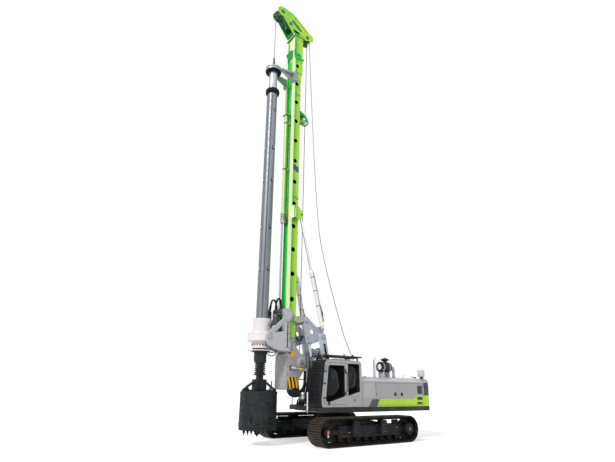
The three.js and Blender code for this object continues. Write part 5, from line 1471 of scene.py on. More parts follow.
def make_mast_cylinders():
    barrels = Shape()
    for name, side in SIDES.items():
        foot, head = P(1.13, side * 0.615, 3.975), P(ROD_PIN_X, side * 0.43, ROD_PIN_Z)
        way = (head - foot).normalized()
        gland_z, rise = 6.25, 0.975
        gland = along(foot, head, (gland_z - 3.975) / rise)
        length = (gland - foot).length
        barrels.turned(
            [(0, 0.05), (0.056, 0.05), (0.058, 0.1), (0.082, 0.12), (0.082, 0.16), (0.076, 0.17),
             (0.076, length - 0.16),
             (0.083, length - 0.15), (0.083, length - 0.03), (0.07, length), (0.056, length), (0.056, 0.2),
             (0, 0.2)],
            ROSE, foot, way, 40)
        barrels.turned([(0, -0.065), (0.035, -0.055), (0.058, -0.03), (0.066, 0), (0.058, 0.03),
                        (0.05, 0.055), (0, 0.06)], STEEL_BLUE, foot, (0, 1, 0), 28)
        rear = Vector((-1, 0, 0.224)).normalized()
        for distance in (0.3, length - 0.1):
            spot = foot + way * distance + rear * 0.08
            barrels.turned([(0, 0), (0.03, 0), (0.03, 0.03), (0.018, 0.034), (0.018, 0.05), (0, 0.05)],
                           DARK_GREY, spot - rear * 0.01, rear, 16)
        low, high = foot + way * 0.3 + rear * 0.115, foot + way * (length - 0.1) + rear * 0.115
        barrels.pipe([low, high], 0.011, DARK_GREY, 10)
        barrels.pipe([low + Vector((0, 0.035, 0)), low + way * 0.6 + Vector((0, 0.035, 0))], 0.011, DARK_GREY,
                     10)
        block = foot + way * 0.62 + rear * 0.105
        barrels.box((-0.045, -0.05, -0.09), (0.045, 0.05, 0.09), DARK_GREY, 0.006, turn=turn_to(block, way))
        for distance in (0.9, 1.5, 2.05):
            spot = foot + way * distance
            barrels.turned(tube(0.075, 0.081, 0, 0.025), DARK_GREY, spot, way, 36)
            clamp = spot + rear * 0.1
            barrels.box((-0.022, -0.02, 0), (0.022, 0.02, 0.025), DARK_GREY, 0.003, turn=turn_to(clamp, way))
        rod = Shape()
        inner = along(foot, head, 1.5)
        reach = (head - inner).length
        rod.turned([(0, 0), (0.053, 0.002), (0.053, 0.06), (0.045, 0.065), (0.045, reach - 0.12),
                    (0.05, reach - 0.115), (0.052, reach - 0.06), (0.04, reach - 0.04), (0, reach - 0.03)],
                   CHROME, inner, way, 36)
        rod.turned([(0, -0.058), (0.03, -0.05), (0.05, -0.028), (0.058, 0), (0.05, 0.028), (0.03, 0.05),
                    (0, 0.058)], DARK_GREY, head, (0, 1, 0), 28)
        rod.finish(f"{name}_mast_piston", f"{name}_mast_rod", [f"{name}_mast_rod"], "chrome")
    barrels.finish("mast_cylinder_barrels", "mast_cylinders", ["left_mast_cylinder", "right_mast_cylinder"],
                   "pale_paint")


make_boom_fittings()
make_luffing_fittings()
make_support_fittings()
make_mast_cylinders()

# ---------------------------------------------------------------- mast


def make_mast_fittings():
    mast = Shape()
    rail_foot, rail_top, seams = 3.64, 16.5, (9.35, 14.5)
    # holes through the mast, lined and plugged with near-black as painted shade inside them
    for n in range(12):
        z = 5.05 + n
        bore = P(2.375, 0, z)
        mast.turned(tube(0.086, 0.094, -0.299, 0.299), SHADE_AND_SOOT, bore, (0, 1, 0), 32)
        mast.turned(disc(0.09, 0.1, -0.1), SHADE_AND_SOOT, bore, (0, 1, 0), 24)
    mast.box(P(2.4995, -0.204, rail_foot), P(2.506, 0.204, rail_top), GREEN, 0)
    for side in (1, -1):
        # guide rails on the front corners in lime paled as a painted highlight, with their wear strips
        mast.box(P(2.4995, side * 0.203, rail_foot), P(2.5815, side * 0.3415, rail_top), RAIL_LIME_HIGHLIGHT, 0.004)
        mast.box(P(2.496, side * 0.30, rail_foot), P(2.5005, side * 0.337, rail_top), SILVER, 0)
        # cable tray and hoses on the rear face
        mast.box(P(2.172, side * 0.17, 5.2), P(2.181, side * 0.27, 15.0), LIME, 0.003)
        for n in range(20):
            z = 5.3 + n * 0.5
            mast.box(P(2.145, side * 0.15, z), P(2.181, side * 0.285, z + 0.03), DARK_GREY, 0.004)
        for n in range(3):
            y = side * (0.185 + n * 0.034)
            mast.pipe([P(2.157, y, 4.75), P(2.157, y, 16.2)], 0.0135, RUBBER, 8)
        # seams between the mast's sections, with their bolts
        for z in seams:
            mast.box(P(2.175, side * 0.3, z - 0.05), P(2.435, side * 0.318, z + 0.05), LIME, 0.005)
            for k in range(5):
                for dz in (-0.026, 0.026):
                    mast.bolt(P(2.215 + k * 0.052, side * 0.318, z + dz), (0, side, 0), 0.009)
    for z in seams:
        mast.box(P(2.166, -0.31, z - 0.05), P(2.181, 0.31, z + 0.05), LIME, 0.004)
    # junction boxes with their hoses on the right face
    for z, low, high in ((12.6, 2.2, 2.32), (9.6, 2.22, 2.3), (6.5, 2.25, 2.36)):
        mast.box(P(low, -0.3, z - 0.1), P(high, -0.34, z + 0.1), DARK_GREY, 0.008)
        mast.pipe([P(low + 0.03, -0.335, z + 0.09), P(low + 0.03, -0.35, z + 0.25),
                   P(low - 0.02, -0.32, z + 0.38), P(2.165, -0.27, z + 0.5)], 0.012, RUBBER, 8)
    mast.box(P(2.43, 0.29, 8.35), P(2.5, 0.5, 8.9), LIME, 0.008)
    for z in (16.95, 17.5):
        mast.box(P(2.07, -0.33, z), P(2.1, 0.33, z + 0.06), LIME, 0.004)
    for n in range(24):
        z = 5.0 + n * 0.46
        if abs(z - 13.35) > 0.2:
            mast.pipe([P(2.18, -0.12, z), P(2.11, -0.12, z), P(2.11, 0.12, z), P(2.18, 0.12, z)], 0.01,
                      DARK_GREY, 6, steps=2)
    for side in (1, -1):
        mast.side_bolts(side, side * 0.32, ((2.15, 16.0), (2.15, 16.3), (2.45, 17.3), (2.2, 17.6)), 0.016)
        # platform rails at the crown
        mast.pipe([P(2.12, side * 0.365, 17.85), P(2.12, side * 0.365, 17.9), P(2.5, side * 0.365, 17.9),
                   P(2.5, side * 0.365, 17.85)], 0.01, DARK_GREY, 6, steps=2)
        # bearing blocks of the tilt pin
        mast.turned([(0.107, 0), (0.15, 0), (0.15, 0.03), (0.125, 0.045), (0.107, 0.045), (0.107, 0)],
                    STEEL_BLUE, P(TILT_X, side * 0.302, TILT_Z), (0, side, 0), 40)
        mast.bolts(P(TILT_X, side * 0.335, TILT_Z), (0, side, 0), 0.13, 10, 0.01)
        # the pins of the mast cylinders' rods
        mast.rod(P(ROD_PIN_X, side * 0.328, ROD_PIN_Z), P(ROD_PIN_X, side * 0.54, ROD_PIN_Z), 0.026, CHROME,
                 20, 0.004)
        pin_cap(mast, ROD_PIN_X, side * 0.536, ROD_PIN_Z, side, 0.045)
        # the lug over the side shelf, and its edge
        lug = arc(2.33, 16.76, 0.11, 0, 180, 14)
        mast.plate(X(lug), "xz", *span(side, 0.3, 0.33), GREEN, bevel=0.003)
        mast.box(P(2.06, side * 0.3, 16.46), P(2.57, side * 0.415, 16.525), GREEN, 0.006)
    mast.finish("mast_fittings", "mast", slot="lime_paint")
    # a dark blue slanting band round three faces
    band = Shape()
    slant = [(2.182, 10.5), (2.498, 10.64), (2.498, 10.92), (2.182, 10.78)]
    for side in (1, -1):
        band.plate(X(slant), "xz", *span(side, 0.3, 0.3015), NAVY, bevel=0)
    band.box(P(2.1795, -0.298, 10.5), P(2.1805, 0.298, 10.78), NAVY, 0)
    band.finish("mast_band", "mast", slot="lime_paint")


def make_crowd_fittings():
    crowd = Shape()
    for z in (8.22, 8.6):
        crowd.turned(tube(0.112, 0.128, 0, 0.04), LIME, P(CROWD_X, 0, z), sides=36)
    for n in range(6):
        z = 8.29 + n * 0.05
        crowd.turned(tube(0.112, 0.119, 0, 0.02), DARK_GREY, P(CROWD_X, 0, z), sides=36)
    crowd.turned(tube(0.066, 0.1, 0, 0.035), SILVER, P(CROWD_X, 0, 8.176), sides=36)
    crowd.bolts(P(CROWD_X, 0, 8.2), (0, 0, -1), 0.088, 10, 0.008)
    for side in (1, -1):
        crowd.pipe([P(2.62, side * 0.12, 8.35), P(2.60, side * 0.125, 8.8), P(2.60, side * 0.125, 13.1),
                    P(2.62, side * 0.1, 13.25)], 0.012, SILVER, 10)
        for z in (9.2, 10.4, 11.6, 12.8):
            crowd.box(P(2.585, side * 0.09, z), P(2.62, side * 0.145, z + 0.03), DARK_GREY, 0.004)
        crowd.box(P(2.575, side * 0.1, 8.3), P(2.66, side * 0.16, 8.42), DARK_GREY, 0.008)
        crowd.box(P(2.52, side * 0.07, 8.18), P(2.6, side * 0.19, 8.62), DARK_GREY, 0.01)
    for z in (8.345, 10.645, 12.945):
        crowd.turned(tube(0.094, 0.106, -0.03, 0.03), DARK_GREY, P(CROWD_X, 0, z), sides=36)
        for side in (1, -1):
            crowd.bolt(P(2.6, side * 0.1, z), (1, 0, 0), 0.012)
    crowd.rod(P(CROWD_X, -0.17, 13.3), P(CROWD_X, 0.17, 13.3), 0.03, DARK_GREY, 20, 0.004)
    crowd.finish("crowd_cylinder_fittings", "mast", slot="lime_paint")


def make_sheave(name, radius, y):
    wheel = Shape()
    at = pin(name + "_spin")
    at.y = y
    across = (0, 1, 0)
    rim = [(radius - 0.035, -0.03), (radius + 0.02, -0.03), (radius + 0.024, -0.022),
           (radius + 0.003, -0.014), (radius - 0.002, 0), (radius + 0.003, 0.014), (radius + 0.024, 0.022),
           (radius + 0.02, 0.03), (radius - 0.035, 0.03), (radius - 0.035, -0.03)]
    wheel.turned(rim, WHEEL_GREEN, at, across, 48)
    wheel.turned(tube(0.07, radius - 0.03, -0.01, 0.01), WHEEL_GREEN, at, across, 48)
    wheel.turned([(0.043, -0.032), (0.08, -0.032), (0.085, -0.012), (0.085, 0.012), (0.08, 0.032),
                  (0.043, 0.032), (0.043, -0.032)], DARK_GREY, at, across, 32)
    for n in range(6):
        angle = math.pi * n / 3
        a = at + Vector((0.08 * math.cos(angle), 0, 0.08 * math.sin(angle)))
        b = at + Vector(((radius - 0.03) * math.cos(angle), 0, (radius - 0.03) * math.sin(angle)))
        wheel.rod(a, b, 0.016, WHEEL_GREEN, 8)
    wheel.bolts(at + Vector((0, 0.03, 0)), across, 0.066, 6, 0.006)
    wheel.finish(f"{name}_wheel", name, [name], "dark_paint")


def over(wheel, radius, y, angles):
    """Points of a rope laid over a wheel, the angles in radians."""
    x, z = wheel
    return [P(x + radius * math.cos(a), y, z + radius * math.sin(a)) for a in angles]


def make_head_fittings():
    head = Shape()
    for side in (1, -1):
        for (x, z), r in ((FRONT_MAIN_WHEEL, 0.09), (FRONT_AUXILIARY_WHEEL, 0.08), (REAR_WHEELS, 0.085)):
            pin_cap(head, x, side * 0.255, z, side, r, DARK_GREY, 0.012)
            head.bolts(P(x, side * 0.255, z), (0, side, 0), r * 1.25, 8, 0.009)
        edge = [(2.6, 19.05), (2.62, 19.03), (3.2, 19.14), (3.2, 19.16)]
        head.plate(X(edge), "xz", *span(side, 0.22, 0.27), HEAD_LIME, bevel=0.003)
        liner = [(2.02, 18.26), (2.2, 18.14), (2.84, 18.58), (2.8, 18.8), (2.6, 18.78)]
        head.plate(X(liner), "xz", *span(side, 0.2, 0.224), WHEEL_GREEN, bevel=0)
        rim = [(2.1, 18.31), (2.19, 18.225), (2.715, 18.59), (2.695, 18.715), (2.61, 18.715)]
        head.plate(X(rounded(rim, 0.03)), "xz", *span(side, 0.2545, 0.257), WHEEL_GREEN, bevel=0)
        for x0, z0, x1, z1 in ((2.68, 18.02, 3.12, 18.58), (1.72, 18.42, 2.56, 19.0)):
            head.pipe([P(x0, side * 0.262, z0), P(x1, side * 0.262, z1)], 0.016, HEAD_LIME, 8)
        for x in (2.15, 2.3, 2.45):
            head.bolt(P(x, side * 0.2, 17.91), (0, 0, 1), 0.016)
        head.side_bolts(side, side * 0.255, ((2.3, 18.5), (2.5, 18.85), (2.9, 18.9), (2.95, 18.6)), 0.014)
    # spacers that keep the ropes in their grooves
    for x, z in ((3.47, 18.87), (3.02, 18.47), (2.72, 18.66), (1.62, 18.32), (1.58, 17.98)):
        head.rod(P(x, -0.235, z), P(x, 0.235, z), 0.012, DARK_GREY, 12)
    # the main rope over the wheels, and the auxiliary rope's short end
    main = [P(1.575, MAIN_ROPE_Y, 18.1), *over(REAR_WHEELS, 0.215, MAIN_ROPE_Y, (2.9, 2.6, 2.35))]
    main += over(FRONT_MAIN_WHEEL, 0.24, MAIN_ROPE_Y, (2.3, 1.9, 1.5, 1.1, 0.7, 0.35))
    head.pipe([*main, P(3.47, -0.08, 18.8), P(3.47, -0.02, 18.7), P(3.47, 0, 18.64)], ROPE_RADIUS, ROPE, 10)
    short = [P(1.57, AUXILIARY_ROPE_Y, 18.1), *over(REAR_WHEELS, 0.215, AUXILIARY_ROPE_Y, (2.8, 2.35, 2.1))]
    short += over(FRONT_AUXILIARY_WHEEL, 0.205, AUXILIARY_ROPE_Y, (2.0, 1.4, 0.8, 0.2))
    head.pipe([*short, P(2.98, 0.11, 18.2), P(2.94, 0.11, 18.06)], ROPE_RADIUS, ROPE, 10)
    head.turned(cap(0.035, 0.09, 0.02, 0.12), CHAIN_STEEL, P(2.94, 0.11, 17.95), sides=16)
    head.finish("mast_head_fittings", "mast", slot="lime_paint")


def make_lower_mast():
    lower = Shape()
    for side in (1, -1):
        face = side * 0.38
        # the winch's bearing boss, bolted ring and motor
        lower.turned([(0.072, 0), (0.185, 0), (0.185, 0.02), (0.17, 0.035), (0.12, 0.045), (0.072, 0.045),
                      (0.072, 0)], GREY, P(WINCH_X, face, WINCH_Z), (0, side, 0), 40)
        lower.bolts(P(WINCH_X, face + side * 0.02, WINCH_Z), (0, side, 0), 0.155, 14, 0.01)
        lower.turned([(0, 0), (0.1, 0), (0.1, 0.012), (0.05, 0.016), (0.05, 0.03), (0, 0.034)], SILVER,
                     P(WINCH_X, face + side * 0.045, WINCH_Z), (0, side, 0), 32)
        # rail clamps and seam to the upper mast
        lower.box(P(2.2, side * 0.3, 3.56), P(2.49, side * 0.32, 3.619), GREY, 0.004)
        lower.box(P(2.2, side * 0.3, 3.44), P(2.49, side * 0.314, 3.5), GREY, 0.004)
        for k in range(5):
            lower.bolt(P(2.23 + k * 0.055, side * 0.32, 3.59), (0, side, 0), 0.011)
            lower.bolt(P(2.23 + k * 0.055, side * 0.314, 3.47), (0, side, 0), 0.011)
        # barred block with its grey shelf, the bolted plate over it and an amber plate
        lower.box(P(2.13, face - side * 0.002, 1.82), P(2.53, side * 0.402, 2.2), HAZARD, 0.004)
        lower.box(P(2.1, side * 0.33, 2.2), P(2.56, side * 0.41, 2.23), GREY, 0.005)
        lower.box(P(2.32, face, 2.28), P(2.60, face + side * 0.012, 2.9), GREY, 0.004)
        lower.box(P(2.26, face - side * 0.003, 2.86), P(2.42, face + side * 0.008, 3.1), AMBER, 0.004)
        for x in (2.35, 2.57):
            for z in (2.32, 2.6, 2.87):
                lower.bolt(P(x, face + side * 0.012, z), (0, side, 0), 0.01)
        # a hooked bracket under the winch on the left, a plain bar on the right
        hook = [(2.54, 1.84), (2.54, 1.7), (2.42, 1.56), (2.2, 1.5), (1.95, 1.55), (1.78, 1.7), (1.72, 1.95),
                (1.72, 2.5), (1.8, 2.5), (1.81, 1.98), (1.9, 1.8), (2.02, 1.74), (2.1, 1.84)]
        if side > 0:
            lower.plate(X(rounded(hook, 0.06)), "xz", 0.33, 0.4, BLACK, bevel=0.006)
            lower.side_bolts(1, 0.4, ((2.44, 1.66), (2.2, 1.62), (1.86, 1.74), (1.76, 2.1), (1.76, 2.4)),
                             0.014)
        else:
            lower.box(P(1.75, -0.34, 1.8), P(1.8, -0.39, 2.5), DARK_GREY, 0.006)
    lower.turned([(0, 0), (0.15, 0), (0.15, 0.1), (0.11, 0.12), (0.11, 0.26), (0.08, 0.28), (0, 0.28)],
                 DARK_GREY, P(WINCH_X, -0.425, WINCH_Z), (0, -1, 0), 32)
    lower.box(P(1.87, -0.66, 2.76), P(1.97, -0.56, 2.9), DARK_GREY, 0.01)
    for n in range(3):
        y = -0.58 - n * 0.03
        lower.pipe([P(1.93, y, 2.88), P(1.9, y - 0.02, 3.05), P(2.0, y + 0.08, 3.3),
                    P(2.16, -0.33 - n * 0.01, 3.5), P(2.165, -0.26 + n * 0.03, 3.9)], 0.013, RUBBER, 8)
    lower.box(P(2.34, -0.2, 1.84), P(2.345, 0.2, 2.9), DARK_GREY, 0)
    # the sensor canister and its holder
    lower.turned([(0, 0.07), (0.075, 0.07), (0.085, 0.08), (0.085, 0.28), (0.075, 0.3), (0.03, 0.32),
                  (0, 0.32)], SILVER, P(1.9, 0.45, 1.38), sides=32)
    lower.turned([(0, 0), (0.07, 0), (0.088, 0.015), (0.088, 0.075), (0.075, 0.08), (0, 0.08)], BLACK,
                 P(1.9, 0.45, 1.38), sides=32)
    lower.turned(tube(0.084, 0.089, 0, 0.03), DARK_GREY, P(1.9, 0.45, 1.58), sides=32)
    lower.box(P(1.84, 0.35, 1.6), P(1.96, 0.42, 1.67), DARK_GREY, 0.004)
    # the silver strut, thick at its fixed end, with a yellow band
    inner, outer = P(2.42, 0.43, 2.52), P(1.82, 0.545, 2.45)
    lower.rod(inner, along(inner, outer, 0.16), 0.058, SILVER, 24, 0.012)
    lower.rod(along(inner, outer, 0.15), outer, 0.034, SILVER, 24, 0.006)
    lower.rod(along(inner, outer, 0.3), along(inner, outer, 0.43), 0.0365, YELLOW, 24, 0.002)
    lower.rod(along(inner, outer, 0.56), outer, 0.046, SILVER, 24, 0.008)
    lower.box(P(2.38, 0.38, 2.44), P(2.48, 0.41, 2.6), DARK_GREY, 0.006)
    # a bolted cover on the front of the trunk
    lower.box(P(2.599, -0.24, 2.0), P(2.607, 0.24, 2.86), GREY, 0.003)
    for y in (-0.22, 0.22):
        for n in range(5):
            lower.bolt(P(2.607, y, 2.03 + n * 0.2), (1, 0, 0), 0.009)
    lower.finish("lower_mast_fittings", "mast", slot="grey_paint")
    drum = Shape()
    for n in range(19):
        y = -0.27 + n * 0.03
        drum.turned([(0.228, -0.015), (0.24, -0.012), (0.246, 0), (0.24, 0.012), (0.228, 0.015),
                     (0.228, -0.015)], ROPE, P(WINCH_X, y, WINCH_Z), (0, 1, 0), 44)
    for side in (1, -1):
        drum.bolts(P(WINCH_X, side * 0.325, WINCH_Z), (0, side, 0), 0.28, 16, 0.008)
    drum.finish("main_winch_rope", "main_winch", slot="wire_rope")


def make_rope_guide():
    guide = Shape()
    for x, y in ((1.60, MAIN_ROPE_Y), (1.72, MAIN_ROPE_Y), (1.65, AUXILIARY_ROPE_Y),
                 (1.77, AUXILIARY_ROPE_Y)):
        guide.rod(P(x, y - 0.07, 13.32), P(x, y + 0.07, 13.32), 0.02, SILVER, 16)
    cover = [(2.182, 13.36), (2.182, 13.78), (2.02, 13.8), (1.72, 13.62), (1.60, 13.42), (1.60, 13.36)]
    window = [(2.05, 13.42), (2.05, 13.6), (1.86, 13.58), (1.74, 13.46), (1.74, 13.42)]
    for side in (1, -1):
        guide.plate(X(cover), "xz", *span(side, 0.15, 0.166), HEAD_LIME, [X(rounded(window, 0.03))], 0.004)
    guide.plate(X([(2.182, 13.765), (2.182, 13.785), (2.02, 13.805), (1.76, 13.65), (1.76, 13.625),
                   (2.02, 13.785)]), "xz", -0.166, 0.166, HEAD_LIME, bevel=0.003)
    guide.box(P(1.9, 0.04, 13.42), P(2.17, 0.09, 13.44), HEAD_LIME, 0.004)
    guide.finish("rope_guide_rollers", "mast", slot="lime_paint")


make_mast_fittings()
make_crowd_fittings()
make_sheave("front_main_sheave", 0.23, MAIN_ROPE_Y)
make_sheave("front_auxiliary_sheave", 0.19, AUXILIARY_ROPE_Y)
make_sheave("rear_main_sheave", 0.2, MAIN_ROPE_Y)
make_sheave("rear_auxiliary_sheave", 0.2, AUXILIARY_ROPE_Y)
make_head_fittings()
make_lower_mast()
make_rope_guide()

# ---------------------------------------------------------------- sledge and rotary drive


def make_sledge_fittings():
    sledge = Shape()
    for side in (1, -1):
        face = side * 0.565
        # stiffened edges, ribs and bosses on the side plates
        for edge in ([(2.64, 3.09), (3.0, 3.09), (3.0, 3.13), (2.64, 3.13)],
                     [(2.64, 4.26), (2.86, 4.22), (2.86, 4.26), (2.64, 4.31)],
                     [(2.86, 4.24), (3.46, 3.72), (3.44, 3.68), (2.85, 4.18)]):
            sledge.plate(X(edge), "xz", *sorted((face, face + side * 0.016)), PALE, bevel=0.004)
        sledge.turned(cap(0.12, 0.01, 0.1, 0.022), PALE, P(3.47, face, 3.56), (0, side, 0), 36)
        sledge.bolts(P(3.47, face + side * 0.02, 3.56), (0, side, 0), 0.075, 8, 0.01)
        sledge.turned(tube(0.02, 0.045, 0, 0.014), PALE, P(3.36, face, 3.24), (0, side, 0), 24)
        # a near-black slot outline on the side plate: painted shade of a slot
        slot = [(2.68, 3.2), (2.72, 3.2), (2.72, 4.15), (2.68, 4.15)]
        sledge.plate(X(rounded(slot, 0.018)), "xz", *sorted((face - side * 0.001, face + side * 0.0015)),
                     SHADE_AND_SOOT, bevel=0)
        for z in (3.2, 3.45, 3.7, 3.95, 4.15):
            sledge.bolt(P(2.645, face, z), (0, side, 0), 0.012)
            sledge.bolt(P(2.77, face, z), (0, side, 0), 0.012)
        # guide shoes that run on the rails, with wear pads
        post = side * 0.445
        for z0, z1 in ((3.08, 3.48), (4.23, 4.63)):
            sledge.box(P(2.46, post - side * 0.004, z0), P(2.72, post + side * 0.014, z1), PALE, 0.005)
            for z in (z0 + 0.06, z1 - 0.06):
                for x in (2.49, 2.59, 2.69):
                    sledge.bolt(P(x, post + side * 0.014, z), (0, side, 0), 0.011)
        sledge.box(P(2.61, side * 0.24, 3.55), P(2.735, post + side * 0.004, 4.2), PALE, 0.005)
        # hoses from the motors up to the bulkhead bar
        for n in range(3):
            y = side * (0.15 + n * 0.045)
            sledge.pipe([P(3.03 + 0.02 * n, y, 4.55), P(3.0, y, 4.85), P(2.93, y, 5.02),
                         P(2.83, y * 0.9, 4.98), P(2.76, y * 0.8, 4.75), P(2.75, y * 0.8, 4.55)], 0.017,
                        RUBBER, 10)
        sledge.pipe([P(3.1, side * 0.3, 4.3), P(3.2, side * 0.4, 4.15), P(3.12, side * 0.45, 3.9),
                     P(2.95, side * 0.44, 3.95)], 0.014, RUBBER, 8)
    sledge.box(P(2.735, -0.28, 4.5), P(2.80, 0.28, 4.63), DARK_GREY, 0.006)
    sledge.turned(cap(0.085, 0.03, 0.06, 0.045), DARK_GREY, P(CROWD_X, 0, 4.6405), sides=28)
    # the hose loop under the drive
    sledge.pipe([P(3.02, 0.3, 3.12), P(3.06, 0.36, 2.98), P(3.2, 0.33, 2.9), P(3.33, 0.25, 2.95),
                 P(3.36, 0.22, 3.06)], 0.017, RUBBER, 10)
    sledge.finish("sledge_fittings", "sledge", slot="pale_paint")


def make_rotary_drive():
    drive = Shape()
    bore, motor_x, motor_y = 0.247, -0.42, 0.215
    drive.turned([
        (bore, 3.75), (0.32, 3.75), (0.325, 3.78), (0.325, 4.08), (0.335, 4.1), (0.345, 4.12), (0.345, 4.2),
        (0.335, 4.21), (bore, 4.21), (bore, 3.75),
    ], ROSE, K(0, 0, 0), sides=72)
    drive.turned([
        (bore, 3.37), (0.44, 3.37), (0.48, 3.385), (0.5, 3.41), (0.5, 3.445), (0.505, 3.45), (0.505, 3.475),
        (0.498, 3.48), (0.498, 3.64),
        (0.505, 3.645), (0.505, 3.69), (0.495, 3.715), (0.45, 3.73), (0.36, 3.752), (bore, 3.752),
        (bore, 3.37),
    ], ROSE, K(0, 0, 0), sides=72)
    drive.turned([(bore, 3.15), (0.33, 3.15), (0.345, 3.165), (0.345, 3.2), (0.33, 3.21), (0.33, 3.33),
                  (0.345, 3.34), (0.345, 3.37), (bore, 3.37), (bore, 3.15)], ROSE, K(0, 0, 0), sides=72)
    drive.turned([(bore, 3.085), (0.30, 3.09), (0.3, 3.15), (bore, 3.15), (bore, 3.085)], BLACK, K(0, 0, 0),
                 sides=64)
    drive.turned([(bore, 3.06), (0.475, 3.062), (0.48, 3.066), (0.48, 3.086), (0.475, 3.09), (bore, 3.09),
                  (bore, 3.06)], ROSE, K(0, 0, 0), sides=72)
    drive.turned([(bore, 3.032), (0.32, 3.032), (0.328, 3.04), (0.328, 3.06), (bore, 3.06), (bore, 3.032)],
                 BLACK, K(0, 0, 0), sides=64)
    drive.bolts(K(0, 0, 4.21 - 0.008), (0, 0, 1), 0.3, 20, 0.0105)
    drive.bolts(K(0, 0, 3.72), (0, 0, 1), 0.42, 28, 0.012)
    for n in range(20):
        a = 2 * math.pi * n / 20
        out = outward(a)
        drive.bolt(K(0, 0, 3.27) + out * 0.33, out, 0.017, BLACK)
        drive.rod(K(0, 0, 3.205) + out * 0.32, K(0, 0, 3.335) + out * 0.32, 0.013, BLACK, 8)
    for n in range(24):
        a = 2 * math.pi * (n + 0.5) / 24
        drive.bolt(K(0.46 * math.cos(a), 0.46 * math.sin(a), 3.09), (0, 0, 1), 0.009)
    # the rear case, the two motors on it and their valve blocks
    drive.box(K(-0.555, -0.355, 3.41), K(-0.35, 0.355, 3.695), ROSE, 0.02, segments=2)
    for side in (1, -1):
        drive.turned([(0, 0), (0.128, 0), (0.128, 0.03), (0.118, 0.04), (0.118, 0.33), (0.128, 0.34),
                      (0.128, 0.37), (0.095, 0.385), (0.095, 0.68), (0.08, 0.72), (0, 0.72)], DARK_GREY,
                     K(motor_x, side * motor_y, 3.695), sides=40)
        drive.turned(tube(0.117, 0.125, 0.09, 0.28), ROSE, K(motor_x, side * motor_y, 3.695), sides=40)
        drive.bolts(K(motor_x, side * motor_y, 4.06), (0, 0, 1), 0.111, 10, 0.008)
        drive.box(K(-0.495, side * motor_y - 0.065, 4.32), K(-0.345, side * motor_y + 0.065, 4.555), BLACK,
                  0.012)
        for dz in (4.36, 4.48):
            drive.turned(cap(0.028, 0.03, 0.018, 0.035), SILVER, K(-0.345, side * motor_y, dz), (1, 0, 0), 16)
        y0, y1 = 0.36, 0.524
        drive.turned([(0, 0), (0.1, 0), (0.1, 0.04), (0.085, 0.06), (0.085, y1 - y0), (0, y1 - y0)], ROSE,
                     K(0, side * y0, 3.56), (0, side, 0), 36)
    drive.turned(disc(0.03, 0.02), YELLOW, K(0.28, 0.17, 3.735), sides=16)
    drive.pipe([K(-0.3, 0.33, 3.7), K(-0.2, 0.42, 3.8), K(-0.1, 0.36, 3.95), K(-0.12, 0.3, 4.05)], 0.012,
               RUBBER, 8)
    drive.finish("rotary_drive_unit", "sledge", ["rotary_drive"], "pale_paint")


# ---------------------------------------------------------------- kelly bar, guide and bucket


